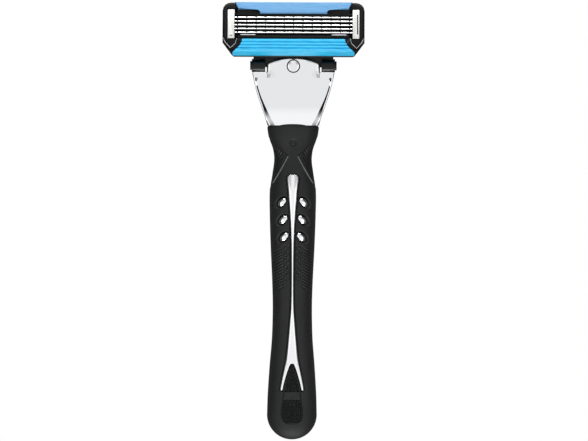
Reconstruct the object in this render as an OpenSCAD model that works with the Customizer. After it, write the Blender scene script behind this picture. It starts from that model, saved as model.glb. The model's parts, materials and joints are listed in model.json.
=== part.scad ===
// Cartridge razor: a rubber-gripped metal handle whose head rocks on a ball and pivots on two pins.
// Millimetres. X runs across, Y along the handle towards the head, Z up through the blade side.

/* [Cartridge] */
// Width of the cartridge
cartridge_w = 43; // [41:0.5:52]
// Height of the cartridge's face
face_h = 16; // [15:0.5:20]
// Thickness of the housing from back to face
housing_t = 4.8; // [4.4:0.1:6]
// Width of each end cap outside the blades
end_cap_w = 3.7; // [3.2:0.1:4.5]
// Distance from one blade's edge to the next
blade_pitch = 1.22; // [1.1:0.02:1.3]
// Height of the lubricating strip at its middle
strip_h = 3.66; // [3:0.1:4.2]
// Height of the rubber guard below the blades
guard_h = 4.15; // [3.5:0.05:4.4]
// Width of each blade clip
clip_w = 2.1; // [1.6:0.1:2.4]
// Lean of the face at rest, top edge backwards
tilt = 20; // [10:1:25]

/* [Pivot] */
// Radius of the two pivot pins
pin_r = 0.8; // [0.7:0.05:0.96]
// Radial clearance of the pins and of the plunger
pin_clear = 0.05; // [0.03:0.01:0.1]
// Radius of the plunger that returns the cartridge
plunger_r = 0.8; // [0.6:0.05:0.96]
// Travel of the plunger
plunger_travel = 2; // [1.6:0.1:2.2]

/* [Rocking head] */
// Radius of the ball that the head rocks on
ball_r = 1.8; // [1.4:0.1:2.2]
// Radius of the round carrier inside the neck
carrier_r = 6.6; // [6.2:0.1:7.92]
// Width of the nose that takes the cartridge
nose_w = 10.4; // [9:0.2:10.8]
// Radius of the two ears
ear_r = 2; // [1.6:0.1:2.1]
// Distance across the ears
ear_span = 25.2; // [24:0.2:27]

/* [Neck] */
// Distance from the rubber collar to the ball
neck_len = 17.8; // [16.8:0.2:22]
// Width of the neck at its shoulders
neck_w = 25; // [24:0.5:30]
// Rise of the neck from the grip to the head
neck_rise = 3.6; // [3:0.1:5]
// Thickness of the front plate over the carrier
plate_t = 1.6; // [1.2:0.1:2.2]
// Radius of the neck's domed top edge
dome_r = 18.7; // [16:0.1:23]

/* [Release button] */
// Travel of the button and of the cartridge as it leaves
eject_travel = 4; // [3:0.1:4.4]
// Width of the button
button_w = 8.4; // [7:0.2:11]
// Length of the button
button_len = 6.5; // [5.4:0.1:7.2]

/* [Grip] */
// Length of the rubber grip
grip_len = 95.4; // [80:0.2:115]
// Width of the grip at its tail
grip_w = 15.2; // [14:0.1:19]
// Thickness of the grip at its fullest
grip_t = 12.5; // [11.5:0.1:15]
// Depth of the soft inlays in the grip
inlay_t = 1.2; // [0.8:0.1:1.4]
// Radius of the six studs
stud_r = 1.45; // [1.2:0.05:1.6]

/* [Hidden] */
$fn = 48;
blade_count = 5;
gap = 0.3;        // between parts that move past each other
snug = 0.05;      // between flat faces that slide on each other
over = 1;         // how far a cutter runs past what it cuts

// Cartridge, in its own frame: x across, u up the face, n out of the face, pivot axis at u = n = 0
back_n = 1.6;
face_n = back_n + housing_t;
top_u = 10.76;
low_u = top_u - face_h;
floor_n = back_n + 1;
bay_half = cartridge_w / 2 - end_cap_w;
guard_top_u = low_u + guard_h;
comb_h = 1.23;
guard_bar_t = 0.2;
blade_lead = 0.35;
blade_back = 0.5;
first_blade_u = guard_top_u + comb_h + guard_bar_t + blade_lead + 0.36;
bay_top_u = first_blade_u + (blade_count - 1) * blade_pitch + blade_back + gap;
strip_low_u = top_u - strip_h;
strip_step_u = top_u - 2.3;
strip_t = 1.5;
guard_t = 1.4;
guard_wrap_n = back_n + 0.8;
clip_t = 0.25;
clip_x = bay_half + 0.05;
clip_low_u = guard_top_u;
clip_top_u = bay_top_u + 1.44;

// Stack of the head, measured through the middle of the carrier
head_z = 0.608 * grip_t + neck_rise;
carrier_low = head_z - 2.2;
carrier_top = head_z + 2.2;
plate_low = carrier_top + 0.2;
plate_top = plate_low + plate_t;
ball_z = plate_low + 0.5;
ball_post_r = ball_r - 0.6;
ball_post_t = 0.55;
flange_top = head_z + 1.7;
slide_t = 0.9;
slide_low = carrier_low - gap - slide_t;
cover_t = 1.1;
cover_top = slide_low - gap;
cover_low = cover_top - cover_t;
button_t = 1.1;

// Places along Y
pivot_reach = 7.1;
face_rise = top_u * cos(tilt) + face_n * sin(tilt);
tail_y = -(grip_len + neck_len + pivot_reach + face_rise) / 2;
collar_y = tail_y + grip_len;
ball_y = collar_y + neck_len;
pivot_y = ball_y + pivot_reach;
pivot_z = head_z + 2.3;
shoulder_y = ball_y - 2;
dome_y = ball_y + 2.5;
notch_y = ball_y - 3.5;
panel_notch_x = ear_span / 2 - 4.1 - 0.45;

// Nose of the carrier and the sleeve of the connector over it
nose_y = ball_y + 5.3;
nose_slot_y = ball_y + 4.3;
nose_half_t = 1.8;
sleeve_y = ball_y + 3.2;
sleeve_wall = 0.6;
sleeve_end_y = nose_y + 0.7;
finger_w = 2.8;
finger_back = 0.6;
finger_reach = 3.2;
collar_r = plunger_r + 0.45;
plunger_tip_y = pivot_y - finger_back - 0.15;
plunger_collar_y = ball_y + 1.7;
plunger_collar_t = 1.2;
plunger_tail = 2;
spring_seat_y = plunger_collar_y - plunger_tail - plunger_travel - 0.9;

// Arms and lugs of the cartridge pivot
arm_r = 1.4;
arm_x = [8.6, 10];
lug_r = pin_r + 0.95;
lug_x = [arm_x[1] + 0.2, arm_x[1] + 1.8];

// Ejector and its spring
slide_w = 7;
slide_tail_y = ball_y - 15.5;
slide_tip_y = ball_y + 0.7;
post_t = 0.8;
coil_z = slide_low + slide_t + 0.9;
coil_stop_y = ball_y - carrier_r - 1.1;
button_y = ball_y - 10.9;
stem_w = 4;
stem_y = [button_y + 1.6, button_y + 5];
cover_y = [ball_y - 10.5, ball_y + 1.4];
leaf_t = 0.3;
leaf_z = [head_z - 0.3, head_z + 1.1];
leaf_y = [ball_y - 15.2, ball_y - 4.2];
leaf_grip = 2.8;

// Grip stations: place along the grip and half width in percent, back and front in percent of thickness
STATIONS = [
    [0, 8, 44, 57], [1.2, 51, 28, 74], [3, 79, 19, 83], [5, 93.5, 14, 86.5], [7.7, 99.5, 9, 88],
    [14.5, 97, 0, 88], [24, 89.5, -4, 85], [32, 81.5, -4, 82.5], [41, 78.5, -4, 81.5],
    [49, 80.5, -4, 85], [62, 88, -4, 95], [72, 92, -4, 100], [79.5, 92, -4, 99.5],
    [85, 82.5, -4, 94.5], [89, 76.5, -4, 90], [92.5, 82, -1, 91], [95, 93, 7, 94.5],
    [97, 99.5, 13, 98], [100, 104.5, 20, 101.5]];
// Neck stations: place along the neck and half width of flange and panel, all in percent
NECK = [[0, 63, 47], [15, 69, 57], [29, 76, 66], [43, 83, 75], [56, 89, 82], [70, 94, 87.5],
    [89, 100, 91]];
// Spine outline, from the tips of its two legs up: place along the grip in percent, half width
SPINE = [[15.6, 3.3], [16.6, 3.35], [21.3, 2.65], [26, 1.75], [30, 1.35], [35.5, 0.9], [43, 0.35], [60, 0.35], [68, 0.6],
    [73.6, 1], [79.4, 1.4], [83, 1.8], [83.8, 1.5], [84.1, 0.8]];
// Fork between the two legs, from the tips up
FORK = [[15.6, 2.8], [19.5, 1.95], [23.5, 0.62], [24.2, 0.1]];
// Tail pad outline: place along the grip in percent, half width
TAIL_PAD = [[5, 1.4], [5.4, 2.3], [6.3, 3], [8, 3.4], [11.3, 3.1], [15, 2.5], [19, 1.5], [23.6, 0.2]];
// Sideways place of the studs, from the head end
STUD_X = [3.3, 2.85, 2.55];
stud_first = 75.3;
stud_step = 5.4;
core_half = 3.2;
core_low = 0.29 * grip_t;
core_top = 0.67 * grip_t;
core_tail = 15;

// Place on the grip, from percent of its length
function along(s) = tail_y + s / 100 * grip_len;
function smooth(t) = let(c = max(0, min(1, t))) c * c * (3 - 2 * c);

// Smooth curve through column k of a station list
function span_at(list, s, i = 0) = i >= len(list) - 2 || s <= list[i + 1][0] ? i : span_at(list, s, i + 1);
function slope(list, i, k) =
    let(a = list[max(i - 1, 0)], b = list[min(i + 1, len(list) - 1)]) (b[k] - a[k]) / (b[0] - a[0]);
function curve(list, s, k) =
    let(i = span_at(list, s), a = list[i], b = list[i + 1], h = b[0] - a[0], t = (s - a[0]) / h)
    a[k] * (2 * t ^ 3 - 3 * t ^ 2 + 1) + b[k] * (3 * t ^ 2 - 2 * t ^ 3)
    + h * (slope(list, i, k) * (t ^ 3 - 2 * t ^ 2 + t) + slope(list, i + 1, k) * (t ^ 3 - t ^ 2));

function grip_half(s) = curve(STATIONS, s, 1) / 100 * grip_w / 2;
function grip_back(s) = curve(STATIONS, s, 2) / 100 * grip_t;
function grip_front(s) = curve(STATIONS, s, 3) / 100 * grip_t;

// Ring of a rounded section: half width, low and high side, roundness
function ring(y, half, low, high, power, sides) = [for (i = [0 : sides - 1])
    let(a = -360 * (i + 0.5) / sides, c = cos(a), s = sin(a))
    [half * sign(c) * abs(c) ^ (2 / power), y,
     (low + high) / 2 + (high - low) / 2 * sign(s) * abs(s) ^ (2 / power)]];

// Closed skin over rings that all have the same number of points
module skin(rings) {
    n = len(rings[0]);
    last = len(rings) - 1;
    polyhedron(
        points = [for (r = rings, p = r) p],
        faces = concat(
            [for (j = [0 : last - 1], i = [0 : n - 1]) let(k = (i + 1) % n)
                each [[j * n + i, (j + 1) * n + i, (j + 1) * n + k], [j * n + i, (j + 1) * n + k, j * n + k]]],
            [[for (i = [0 : n - 1]) i]],
            [[for (i = [n - 1 : -1 : 0]) last * n + i]]));
}

// The grip's outer shape between two places, shrunk by inset
module grip_shape(from, to, rings, inset = 0) {
    skin([for (j = [0 : rings]) let(t = j / rings, s = from + (to - from) * t)
        ring(along(s), grip_half(s) - inset, grip_back(s) + inset, grip_front(s) - inset, 2.5, 32)]);
}

// The whole grip: close rings round the tail, wider ones along the handle, flat where it rests
module grip_whole() {
    TAIL = [0, 0.6, 1.2, 2, 3, 4, 5, 6.3];
    rings = concat(TAIL, [for (j = [0 : 34]) 7.7 + (100 - 7.7) * j / 34]);
    intersection() {
        skin([for (s = rings) ring(along(s), grip_half(s), grip_back(s), grip_front(s), 2.5, 32)]);
        translate([-grip_w, tail_y - over, 0])
            cube([2 * grip_w, grip_len + 2 * over, 2 * grip_t]);
    }
}

// Outline symmetric about X = 0 from a list of place and half width
module mirrored_outline(list) {
    polygon(concat([for (p = list) [p[1], along(p[0])]],
        [for (i = [len(list) - 1 : -1 : 0]) [-list[i][1], along(list[i][0])]]));
}

// Box between two corners
module block(a, b) {
    translate(a) cube(b - a);
}

// Round bar along Y
module bar_y(r, y0, y1, z) {
    translate([0, y0, z]) rotate([-90, 0, 0]) cylinder(r = r, h = y1 - y0);
}

// Coil spring along Y
module coil(r, wire_r, y0, y1, z, turns) {
    steps = 14;
    sides = 6;
    skin([for (j = [0 : turns * steps])
        let(a = 360 * j / steps, y = y0 + wire_r + (y1 - y0 - 2 * wire_r) * j / (turns * steps))
        [for (i = [0 : sides - 1]) let(b = 360 * i / sides)
            [(r + wire_r * cos(b)) * cos(a), y + wire_r * sin(b), z + (r + wire_r * cos(b)) * sin(a)]]]);
}

// Frame of the cartridge
module in_cartridge() {
    translate([0, pivot_y, pivot_z]) rotate([-tilt, 0, 0]) children();
}

// Outline in u and n, drawn out along X from -half to half
module along_x(half, points) {
    translate([-half, 0, 0]) rotate([90, 0, 90]) linear_extrude(2 * half) polygon(points);
}

// ---- handle ----

function neck_half(t) = curve(NECK, t, 1) / 100 * neck_w / 2;
function panel_half(t) = curve(NECK, t, 2) / 100 * neck_w / 2;
function neck_y(t) = collar_y + t / 100 * neck_len;
function panel_front(t) = plate_top - (neck_rise + 0.1) * (1 - smooth((t + 28) / 67));
function flange_front(t) = panel_front(t) - 1.15 + 0.9 * smooth(t / 75);
function flange_back(t) = cover_low - neck_rise * (1 - smooth(t / 40));

// Low part of the neck, out to its full width
module neck_flange() {
    steps = 14;
    end_t = (shoulder_y - collar_y) / neck_len * 100;
    skin([for (j = [0 : steps]) let(t = end_t * j / steps)
        ring(neck_y(t), neck_half(t), flange_back(t), flange_front(t), 4, 32)]);
}

// Raised front panel with its domed top and the notches that the ears move in
module neck_panel() {
    steps = 12;
    notch_t = (notch_y - collar_y) / neck_len * 100;
    side = [for (j = [0 : steps]) let(t = notch_t * j / steps) [panel_half(t), neck_y(t)]];
    dome_mid = dome_y - dome_r;
    dome_edge = asin(panel_notch_x / dome_r);
    dome = [for (j = [0 : 8]) let(a = dome_edge * (1 - j / 4)) [dome_r * sin(a), dome_mid + dome_r * cos(a)]];
    intersection() {
        linear_extrude(plate_top + over) polygon(concat(
            side, [[panel_notch_x, notch_y]], dome, [[-panel_notch_x, notch_y]],
            [for (j = [steps : -1 : 0]) [-side[j][0], side[j][1]]]));
        along_x(neck_w, concat(
            [for (j = [0 : steps]) let(t = 60 * j / steps) [neck_y(t), panel_front(t)]],
            [[dome_y + over, plate_top], [dome_y + over, plate_low], [shoulder_y, plate_low],
             [shoulder_y, head_z], [collar_y, head_z - neck_rise]]));
    }
}

// What lies inside the neck: carrier pocket, slide channel, spring channel and cover seat
module neck_hollow() {
    pocket_r = carrier_r + gap;
    translate([0, ball_y, cover_top]) cylinder(r = pocket_r, h = plate_low - cover_top, $fn = 96);
    block([-slide_w / 2 - 0.2, slide_tail_y - gap, cover_top],
        [slide_w / 2 + 0.2, ball_y, slide_low + slide_t + 0.2]);
    block([-1.3, slide_tail_y - gap, cover_top], [1.3, coil_stop_y, coil_z + 1.1]);
    block([-1.2, leaf_y[0] + leaf_grip, leaf_z[0] - 0.2], [1.2, ball_y - carrier_r, leaf_z[1] + 0.2]);
    block([-leaf_t / 2, leaf_y[0], leaf_z[0]], [leaf_t / 2, leaf_y[0] + leaf_grip + over, leaf_z[1]]);
    block([-back_cover_half, cover_y[0], 0], [back_cover_half, shoulder_y + over, cover_top]);
    block([-neck_w, shoulder_y, 0], [neck_w, dome_y + over, plate_low]);
    for (side = [0, 1]) mirror([side, 0, 0])
        block([panel_notch_x, notch_y, flange_top], [neck_w, dome_y + over, plate_top + over]);
    translate([0, ball_y, plate_low - over]) cylinder(r = ball_r + pin_clear, h = plate_t + 2 * over);
    translate([0, ball_y, plate_top - 0.4]) cylinder(r = ball_r + 0.5, h = over);
}
back_cover_half = carrier_r + 1.8;

// Die-cast chassis: the chromed neck and the bar that runs down inside the rubber
module handle_core() {
    color("gainsboro") {
        difference() {
            union() {
                neck_flange();
                neck_panel();
                block([-6, collar_y - 3, core_low + 0.6], [6, collar_y + over, core_top + 1.6]);
            }
            neck_hollow();
        }
        block([-core_half, along(core_tail), core_low], [core_half, collar_y - 2.5, core_top]);
        block([-4.9, along(stud_first - 2 * stud_step) - 2.5, core_low + 2],
            [4.9, along(stud_first) + 2.5, core_top]);
    }
}

// Outline of one side inlay, on the right
module side_outline() {
    polygon([[grip_w, along(95)], [0.42 * grip_w, along(94.6)], [1.7, along(90.4)],
        [0.42 * grip_w, along(82)], [grip_w, along(81.4)]]);
}

// Solid of the soft inlays: what lies outside the inset grip shape
module inlay_zone(from, to) {
    difference() {
        linear_extrude(2 * grip_t) children();
        grip_shape(from, to, 12, inlay_t);
    }
}

module grip_body() {
    color([0.17, 0.17, 0.17]) difference() {
        grip_whole();
        block([-core_half, along(core_tail), core_low], [core_half, collar_y - 2.5, core_top]);
        block([-4.9, along(stud_first - 2 * stud_step) - 2.5, core_low + 2],
            [4.9, along(stud_first) + 2.5, core_top]);
        block([-6, collar_y - 3, core_low + 0.6], [6, collar_y + over, core_top + 1.6]);
        for (side = [0, 1]) mirror([side, 0, 0]) inlay_zone(78, 97.5) side_outline();
        tail_zone();
        translate([0, 0, core_top]) linear_extrude(grip_t) spine_outline();
        for_studs() cylinder(r = stud_r + 0.2, h = grip_t);
    }
}

module side_grip() {
    color([0.13, 0.13, 0.14]) intersection() {
        grip_shape(79, 97, 16);
        inlay_zone(78, 97.5) side_outline();
    }
}
module side_grip_right() { side_grip(); }
module side_grip_left() { mirror([1, 0, 0]) side_grip(); }

module tail_outline() {
    mirrored_outline(TAIL_PAD);
}

// Seat of the tail pad, on the blade side only
module tail_zone() {
    difference() {
        translate([0, 0, grip_t / 2]) linear_extrude(grip_t) tail_outline();
        grip_shape(3, 27, 12, inlay_t);
    }
}

module tail_pad() {
    color([0.2, 0.2, 0.2]) intersection() {
        grip_shape(4, 26, 20);
        tail_zone();
    }
}

// Outline of the spine: a blade shape with two legs round the tail pad
module spine_outline() {
    difference() {
        mirrored_outline(SPINE);
        mirrored_outline(concat([[SPINE[0][0] - 1, FORK[0][1]]], FORK));
    }
}

module spine_inlay() {
    color([0.78, 0.78, 0.8]) intersection() {
        translate([0, 0, core_top]) linear_extrude(grip_t) spine_outline();
        grip_shape(14, 86, 30, -0.12);
    }
}

// Places of the six studs, each on the core's top
module for_studs() {
    for (side = [-1, 1], row = [0 : 2])
        translate([side * STUD_X[row], along(stud_first - row * stud_step), core_top]) children();
}

module grip_studs() {
    color("gainsboro") for (side = [-1, 1], row = [0 : 2]) {
        s = stud_first - row * stud_step;
        h = grip_front(s) - core_top - 0.35;
        translate([side * STUD_X[row], along(s), core_top])
            rotate_extrude() polygon([[0, 0], [stud_r, 0], [stud_r, h - 0.4], [stud_r - 0.25, h - 0.1],
                [0.7, h + 0.1], [0, h + 0.15]]);
    }
}

// Plate that closes the back of the neck and carries the button's slot
module back_cover() {
    half = back_cover_half - 0.03;
    rail_x = [slide_w / 2 + 0.3, slide_w / 2 + 2.2];
    color([0.12, 0.12, 0.12]) difference() {
        union() {
            translate([0, 0, cover_low]) linear_extrude(cover_t) polygon([
                [-half, cover_y[0] + 0.03], [half, cover_y[0] + 0.03], [half, shoulder_y],
                [half - 1.6, cover_y[1] - 0.6], [half - 3, cover_y[1]],
                [3 - half, cover_y[1]], [1.6 - half, cover_y[1] - 0.6], [-half, shoulder_y]]);
            for (side = [-1, 1]) intersection() {
                block([side > 0 ? rail_x[0] : -rail_x[1], shoulder_y - 3, cover_top - 0.2],
                    [side > 0 ? rail_x[1] : -rail_x[0], cover_y[1] - 0.8, carrier_low - 0.1]);
                translate([0, ball_y, 0]) cylinder(r = carrier_r, h = head_z, $fn = 96);
            }
        }
        block([-stem_w / 2 - 0.2, stem_y[0] - 0.2, cover_low - over],
            [stem_w / 2 + 0.2, stem_y[1] + eject_travel + 0.4, cover_top + over]);
    }
}

module ejector_spring() {
    color("silver") coil(0.75, 0.15, slide_tail_y + post_t + 0.05, coil_stop_y - 0.05, coil_z, 7);
}

// Leaf spring that brings the head back to the middle
module centring_spring() {
    color("silver") block([-leaf_t / 2, leaf_y[0], leaf_z[0]], [leaf_t / 2, leaf_y[1], leaf_z[1]]);
}

// ---- release button ----

module release_button() {
    low = cover_low - 0.1 - button_t;
    color([0.1, 0.1, 0.1]) difference() {
        union() {
            translate([0, 0, low]) linear_extrude(button_t) polygon([
                [-button_w / 2 + 1, button_y], [button_w / 2 - 1, button_y],
                [button_w / 2, button_y + 1], [button_w / 2, button_y + button_len - 1],
                [button_w / 2 - 1, button_y + button_len], [-button_w / 2 + 1, button_y + button_len],
                [-button_w / 2, button_y + button_len - 1], [-button_w / 2, button_y + 1]]);
            block([-stem_w / 2, stem_y[0], low + button_t / 2], [stem_w / 2, stem_y[1], slide_low]);
        }
        for (i = [0 : 3]) translate([-button_w, button_y + button_len * (i + 1) / 5, low - 0.15])
            rotate([0, 90, 0]) cylinder(r = 0.4, h = 2 * button_w);
    }
}

module ejector_slide() {
    color([0.8, 0.8, 0.8]) {
        block([-slide_w / 2, slide_tail_y, slide_low], [slide_w / 2, slide_tip_y, slide_low + slide_t]);
        block([-1.1, slide_tail_y, slide_low + slide_t - 0.1], [1.1, slide_tail_y + post_t, coil_z + 0.9]);
    }
}

// ---- rocking head ----

module head_carrier() {
    ear_x = ear_span / 2;
    ear_in = ear_x - 4.1;
    arm_low = head_z - 1.6;
    ear_z = plate_low + 1.4;
    color([0.09, 0.09, 0.1]) difference() {
        union() {
            intersection() {
                union() {
                    translate([0, ball_y, carrier_low])
                        cylinder(r = carrier_r, h = carrier_top - carrier_low, $fn = 96);
                    block([-ear_x, ball_y - 0.3, arm_low], [ear_x, dome_y + over, carrier_top]);
                }
                translate([0, dome_y - dome_r, 0]) cylinder(r = dome_r + 0.5, h = plate_top, $fn = 120);
            }
            block([-nose_w / 2, ball_y, head_z - nose_half_t], [nose_w / 2, nose_y, head_z + nose_half_t]);
            for (side = [0, 1]) mirror([side, 0, 0]) {
                block([ear_in, ball_y - 0.3, arm_low], [ear_x, ball_y + 2, ear_z]);
                translate([ear_in, ball_y + 0.15, ear_z]) rotate([0, 90, 0])
                    cylinder(r = ear_r, h = 4.1);
                translate([ear_in, ball_y + 0.15, ear_z]) rotate([0, 90, 0])
                    cylinder(r = ear_r - 0.65, h = 4.6);
            }
        }
        bar_y(collar_r + pin_clear, spring_seat_y, plunger_collar_y + plunger_collar_t + 0.1, head_z);
        bar_y(plunger_r + pin_clear, spring_seat_y, nose_y + over, head_z);
        block([-finger_w / 2 - gap, nose_slot_y, carrier_low - over],
            [finger_w / 2 + gap, nose_y + over, carrier_top + over]);
        block([-leaf_t / 2 - 0.1, ball_y - carrier_r - over, leaf_z[0] - 0.3],
            [leaf_t / 2 + 0.1, leaf_y[1] + 0.3, leaf_z[1] + 0.3]);
        translate([0, ball_y, carrier_top - ball_post_t]) cylinder(r = ball_post_r, h = over);
    }
}

// Ball with a flat foot on the carrier and a post pressed into it
module pivot_ball() {
    color("gainsboro") {
        intersection() {
            translate([0, ball_y, ball_z]) sphere(r = ball_r);
            block([-ball_r, ball_y - ball_r, carrier_top], [ball_r, ball_y + ball_r, ball_z + ball_r]);
        }
        translate([0, ball_y, carrier_top - ball_post_t]) cylinder(r = ball_post_r, h = ball_post_t + 0.1);
    }
}

module plunger_spring() {
    color("silver") coil(collar_r - 0.3, 0.13, spring_seat_y + 0.05, plunger_collar_y - 0.05, head_z, 6);
}

module plunger() {
    color("silver") {
        bar_y(plunger_r, plunger_collar_y, plunger_tip_y, head_z);
        bar_y(collar_r, plunger_collar_y, plunger_collar_y + plunger_collar_t, head_z);
        bar_y(0.45, plunger_collar_y - plunger_tail, plunger_collar_y + 0.1, head_z);
    }
}

// ---- connector ----

// Sleeve over the nose, cross bar, and the two arms with the pivot pins
module connector() {
    half = nose_w / 2 + snug + sleeve_wall;
    low = head_z - nose_half_t - snug - sleeve_wall;
    top = head_z + nose_half_t + snug + sleeve_wall;
    bar_y0 = sleeve_end_y - 1.6;
    color([0.1, 0.1, 0.1]) {
        difference() {
            union() {
                block([-half, sleeve_y, low], [half, sleeve_end_y, top]);
                block([-arm_x[1], bar_y0, head_z - 1.5], [arm_x[1], sleeve_end_y, head_z + 2]);
                for (side = [0, 1]) mirror([side, 0, 0]) {
                    block([arm_x[0], bar_y0, pivot_z - arm_r], [arm_x[1], pivot_y, pivot_z + arm_r]);
                    translate([arm_x[0], pivot_y, pivot_z]) rotate([0, 90, 0])
                        cylinder(r = arm_r, h = arm_x[1] - arm_x[0]);
                }
                block([-2.5, slide_tip_y + 0.4, slide_low], [2.5, sleeve_y + over, low + 0.1]);
            }
            block([-nose_w / 2 - snug, sleeve_y - over, head_z - nose_half_t - snug],
                [nose_w / 2 + snug, nose_y + 0.1, head_z + nose_half_t + snug]);
            block([-finger_w / 2 - gap, nose_slot_y - 0.1, head_z - 1.4],
                [finger_w / 2 + gap, sleeve_end_y + over, top + over]);
        }
        for (side = [0, 1]) mirror([side, 0, 0])
            translate([arm_x[1] - 0.1, pivot_y, pivot_z]) rotate([0, 90, 0])
                cylinder(r = pin_r, h = lug_x[1] - arm_x[1] + 0.2);
    }
}

// ---- cartridge ----

function blade_u(i) = first_blade_u + (i - 1) * blade_pitch;

// Outline of the housing's face
module face_outline() {
    half = cartridge_w / 2;
    polygon([
        [half, guard_top_u + 0.4], [half, top_u - 2.6], [half - 0.25, top_u - 1.5],
        [half - 0.8, top_u - 0.7], [half - 1.6, top_u - 0.2], [half - 2.6, top_u],
        [2.6 - half, top_u], [1.6 - half, top_u - 0.2], [0.8 - half, top_u - 0.7],
        [0.25 - half, top_u - 1.5], [-half, top_u - 2.6], [-half, guard_top_u + 0.4],
        [3 - half, low_u + 0.3], [3.6 - half, low_u], [half - 3.6, low_u], [half - 3, low_u + 0.3]]);
}

module strip_outline() {
    half = bay_half;
    step = 0.57 * half;
    polygon([
        [half, top_u], [half - 1.05, strip_step_u], [step + 0.3, strip_step_u], [step, strip_low_u],
        [-step, strip_low_u], [-step - 0.3, strip_step_u], [1.05 - half, strip_step_u], [-half, top_u]]);
}

module guard_outline() {
    half = bay_half + 0.7;
    polygon([
        [half - 2.9, guard_top_u], [half - 2.7, guard_top_u - 1.1], [half - 2, guard_top_u - 2.3],
        [half - 0.8, low_u + 0.6], [half, low_u], [-half, low_u], [0.8 - half, low_u + 0.6],
        [2 - half, guard_top_u - 2.3], [2.7 - half, guard_top_u - 1.1], [2.9 - half, guard_top_u]]);
}

// Space of the guard: a face layer and the lip that wraps down over the lower edge
module guard_space() {
    translate([0, 0, face_n - guard_t]) linear_extrude(guard_t + 0.15) guard_outline();
    intersection() {
        translate([0, 0, guard_wrap_n]) linear_extrude(face_n - guard_wrap_n) guard_outline();
        block([-cartridge_w, low_u, 0], [cartridge_w, low_u + 0.9, face_n]);
    }
}

module cartridge_housing() {
    color([0.06, 0.06, 0.07]) in_cartridge() difference() {
        union() {
            translate([0, 0, back_n]) linear_extrude(housing_t) face_outline();
            for (side = [0, 1]) mirror([side, 0, 0]) {
                translate([lug_x[0], 0, 0]) rotate([0, 90, 0]) cylinder(r = lug_r, h = lug_x[1] - lug_x[0]);
                block([lug_x[0], -lug_r, 0], [lug_x[1], lug_r, back_n + 0.5]);
            }
            rotate([tilt, 0, 0]) block([-finger_w / 2, -finger_back, -finger_reach],
                [finger_w / 2, 1, back_n + 0.6]);
        }
        block([-bay_half, guard_top_u, floor_n], [bay_half, bay_top_u, face_n + over]);
        block([-bay_half + 0.7, bay_top_u - 0.1, face_n - 0.4], [bay_half - 0.7, strip_step_u + 0.1, face_n + over]);
        translate([0, 0, face_n - strip_t]) linear_extrude(strip_t + over) strip_outline();
        guard_space();
        for (side = [0, 1], u = [clip_low_u, clip_top_u - clip_t]) mirror([side, 0, 0])
            block([clip_x, u, 0], [clip_x + clip_w, u + clip_t, face_n + over]);
        for (i = [1 : blade_count - 1], x = [-14.6, -5, 5, 14.6])
            block([x - 2.4, blade_u(i) + blade_back + 0.2, back_n - over],
                [x + 2.4, blade_u(i + 1) + blade_back - 0.5, floor_n + over]);
        for (side = [0, 1]) mirror([side, 0, 0]) translate([lug_x[0] - over, 0, 0])
            rotate([0, 90, 0]) cylinder(r = pin_r + pin_clear, h = lug_x[1] - lug_x[0] + 2 * over);
    }
}

// Bent blade: a sharp strip that leans towards the edge, on a stem that stands on the housing's floor
module blade(i) {
    u = blade_u(i);
    color([0.9, 0.9, 0.92]) in_cartridge() along_x(bay_half - 0.05, [
        [u - blade_lead, face_n + 0.12], [u + blade_back, face_n - 0.22], [u + blade_back, floor_n],
        [u + blade_back - 0.25, floor_n], [u + blade_back - 0.25, face_n - 0.4]]);
}

module clip() {
    color([0.85, 0.85, 0.83]) in_cartridge() {
        block([clip_x, clip_low_u, face_n], [clip_x + clip_w, clip_top_u, face_n + clip_t]);
        for (u = [clip_low_u, clip_top_u - clip_t])
            block([clip_x, u, back_n - clip_t], [clip_x + clip_w, u + clip_t, face_n + 0.1]);
        block([clip_x, clip_low_u, back_n - clip_t], [clip_x + clip_w, clip_low_u + 1.6, back_n]);
        block([clip_x, clip_top_u - 1.6, back_n - clip_t], [clip_x + clip_w, clip_top_u, back_n]);
    }
}
module clip_right() { clip(); }
module clip_left() { mirror([1, 0, 0]) clip(); }

module lube_strip() {
    color([0.48, 0.73, 0.9]) in_cartridge()
        translate([0, 0, face_n - strip_t]) linear_extrude(strip_t) strip_outline();
}

module guard_rubber() {
    groove_w = 0.3;
    color([0.26, 0.7, 0.88]) in_cartridge() difference() {
        guard_space();
        for (i = [1 : 3]) block([-cartridge_w, guard_top_u - 0.32 - i * 0.97, face_n - 0.5],
            [cartridge_w, guard_top_u - 0.32 - i * 0.97 + groove_w, face_n + over]);
    }
}

module comb_bar() {
    color([0.1, 0.1, 0.1]) in_cartridge()
        block([0.9 - bay_half, guard_top_u, floor_n], [bay_half - 0.9, guard_top_u + comb_h, face_n - 0.1]);
}

module guard_bar() {
    u = guard_top_u + comb_h;
    color([0.8, 0.8, 0.8]) in_cartridge()
        block([1.9 - bay_half, u, floor_n], [bay_half - 1.9, u + guard_bar_t, face_n + 0.05]);
}

handle_core();
grip_body();
side_grip_left();
side_grip_right();
tail_pad();
spine_inlay();
grip_studs();
back_cover();
ejector_spring();
centring_spring();
release_button();
ejector_slide();
head_carrier();
pivot_ball();
plunger_spring();
plunger();
connector();
cartridge_housing();
clip_left();
clip_right();
lube_strip();
guard_rubber();
comb_bar();
guard_bar();
for (i = [1 : blade_count]) blade(i);
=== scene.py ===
"""Cartridge razor with a rubber-gripped, chromed handle: what it looks like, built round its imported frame.

Lengths in this script are millimetres and become metres when a mesh is made.
X runs across, Y along the handle towards the head, Z up through the blade side.
"""

import json
import math
from functools import lru_cache

import bmesh
import bpy
import numpy as np
from mathutils import Matrix, Vector

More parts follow.
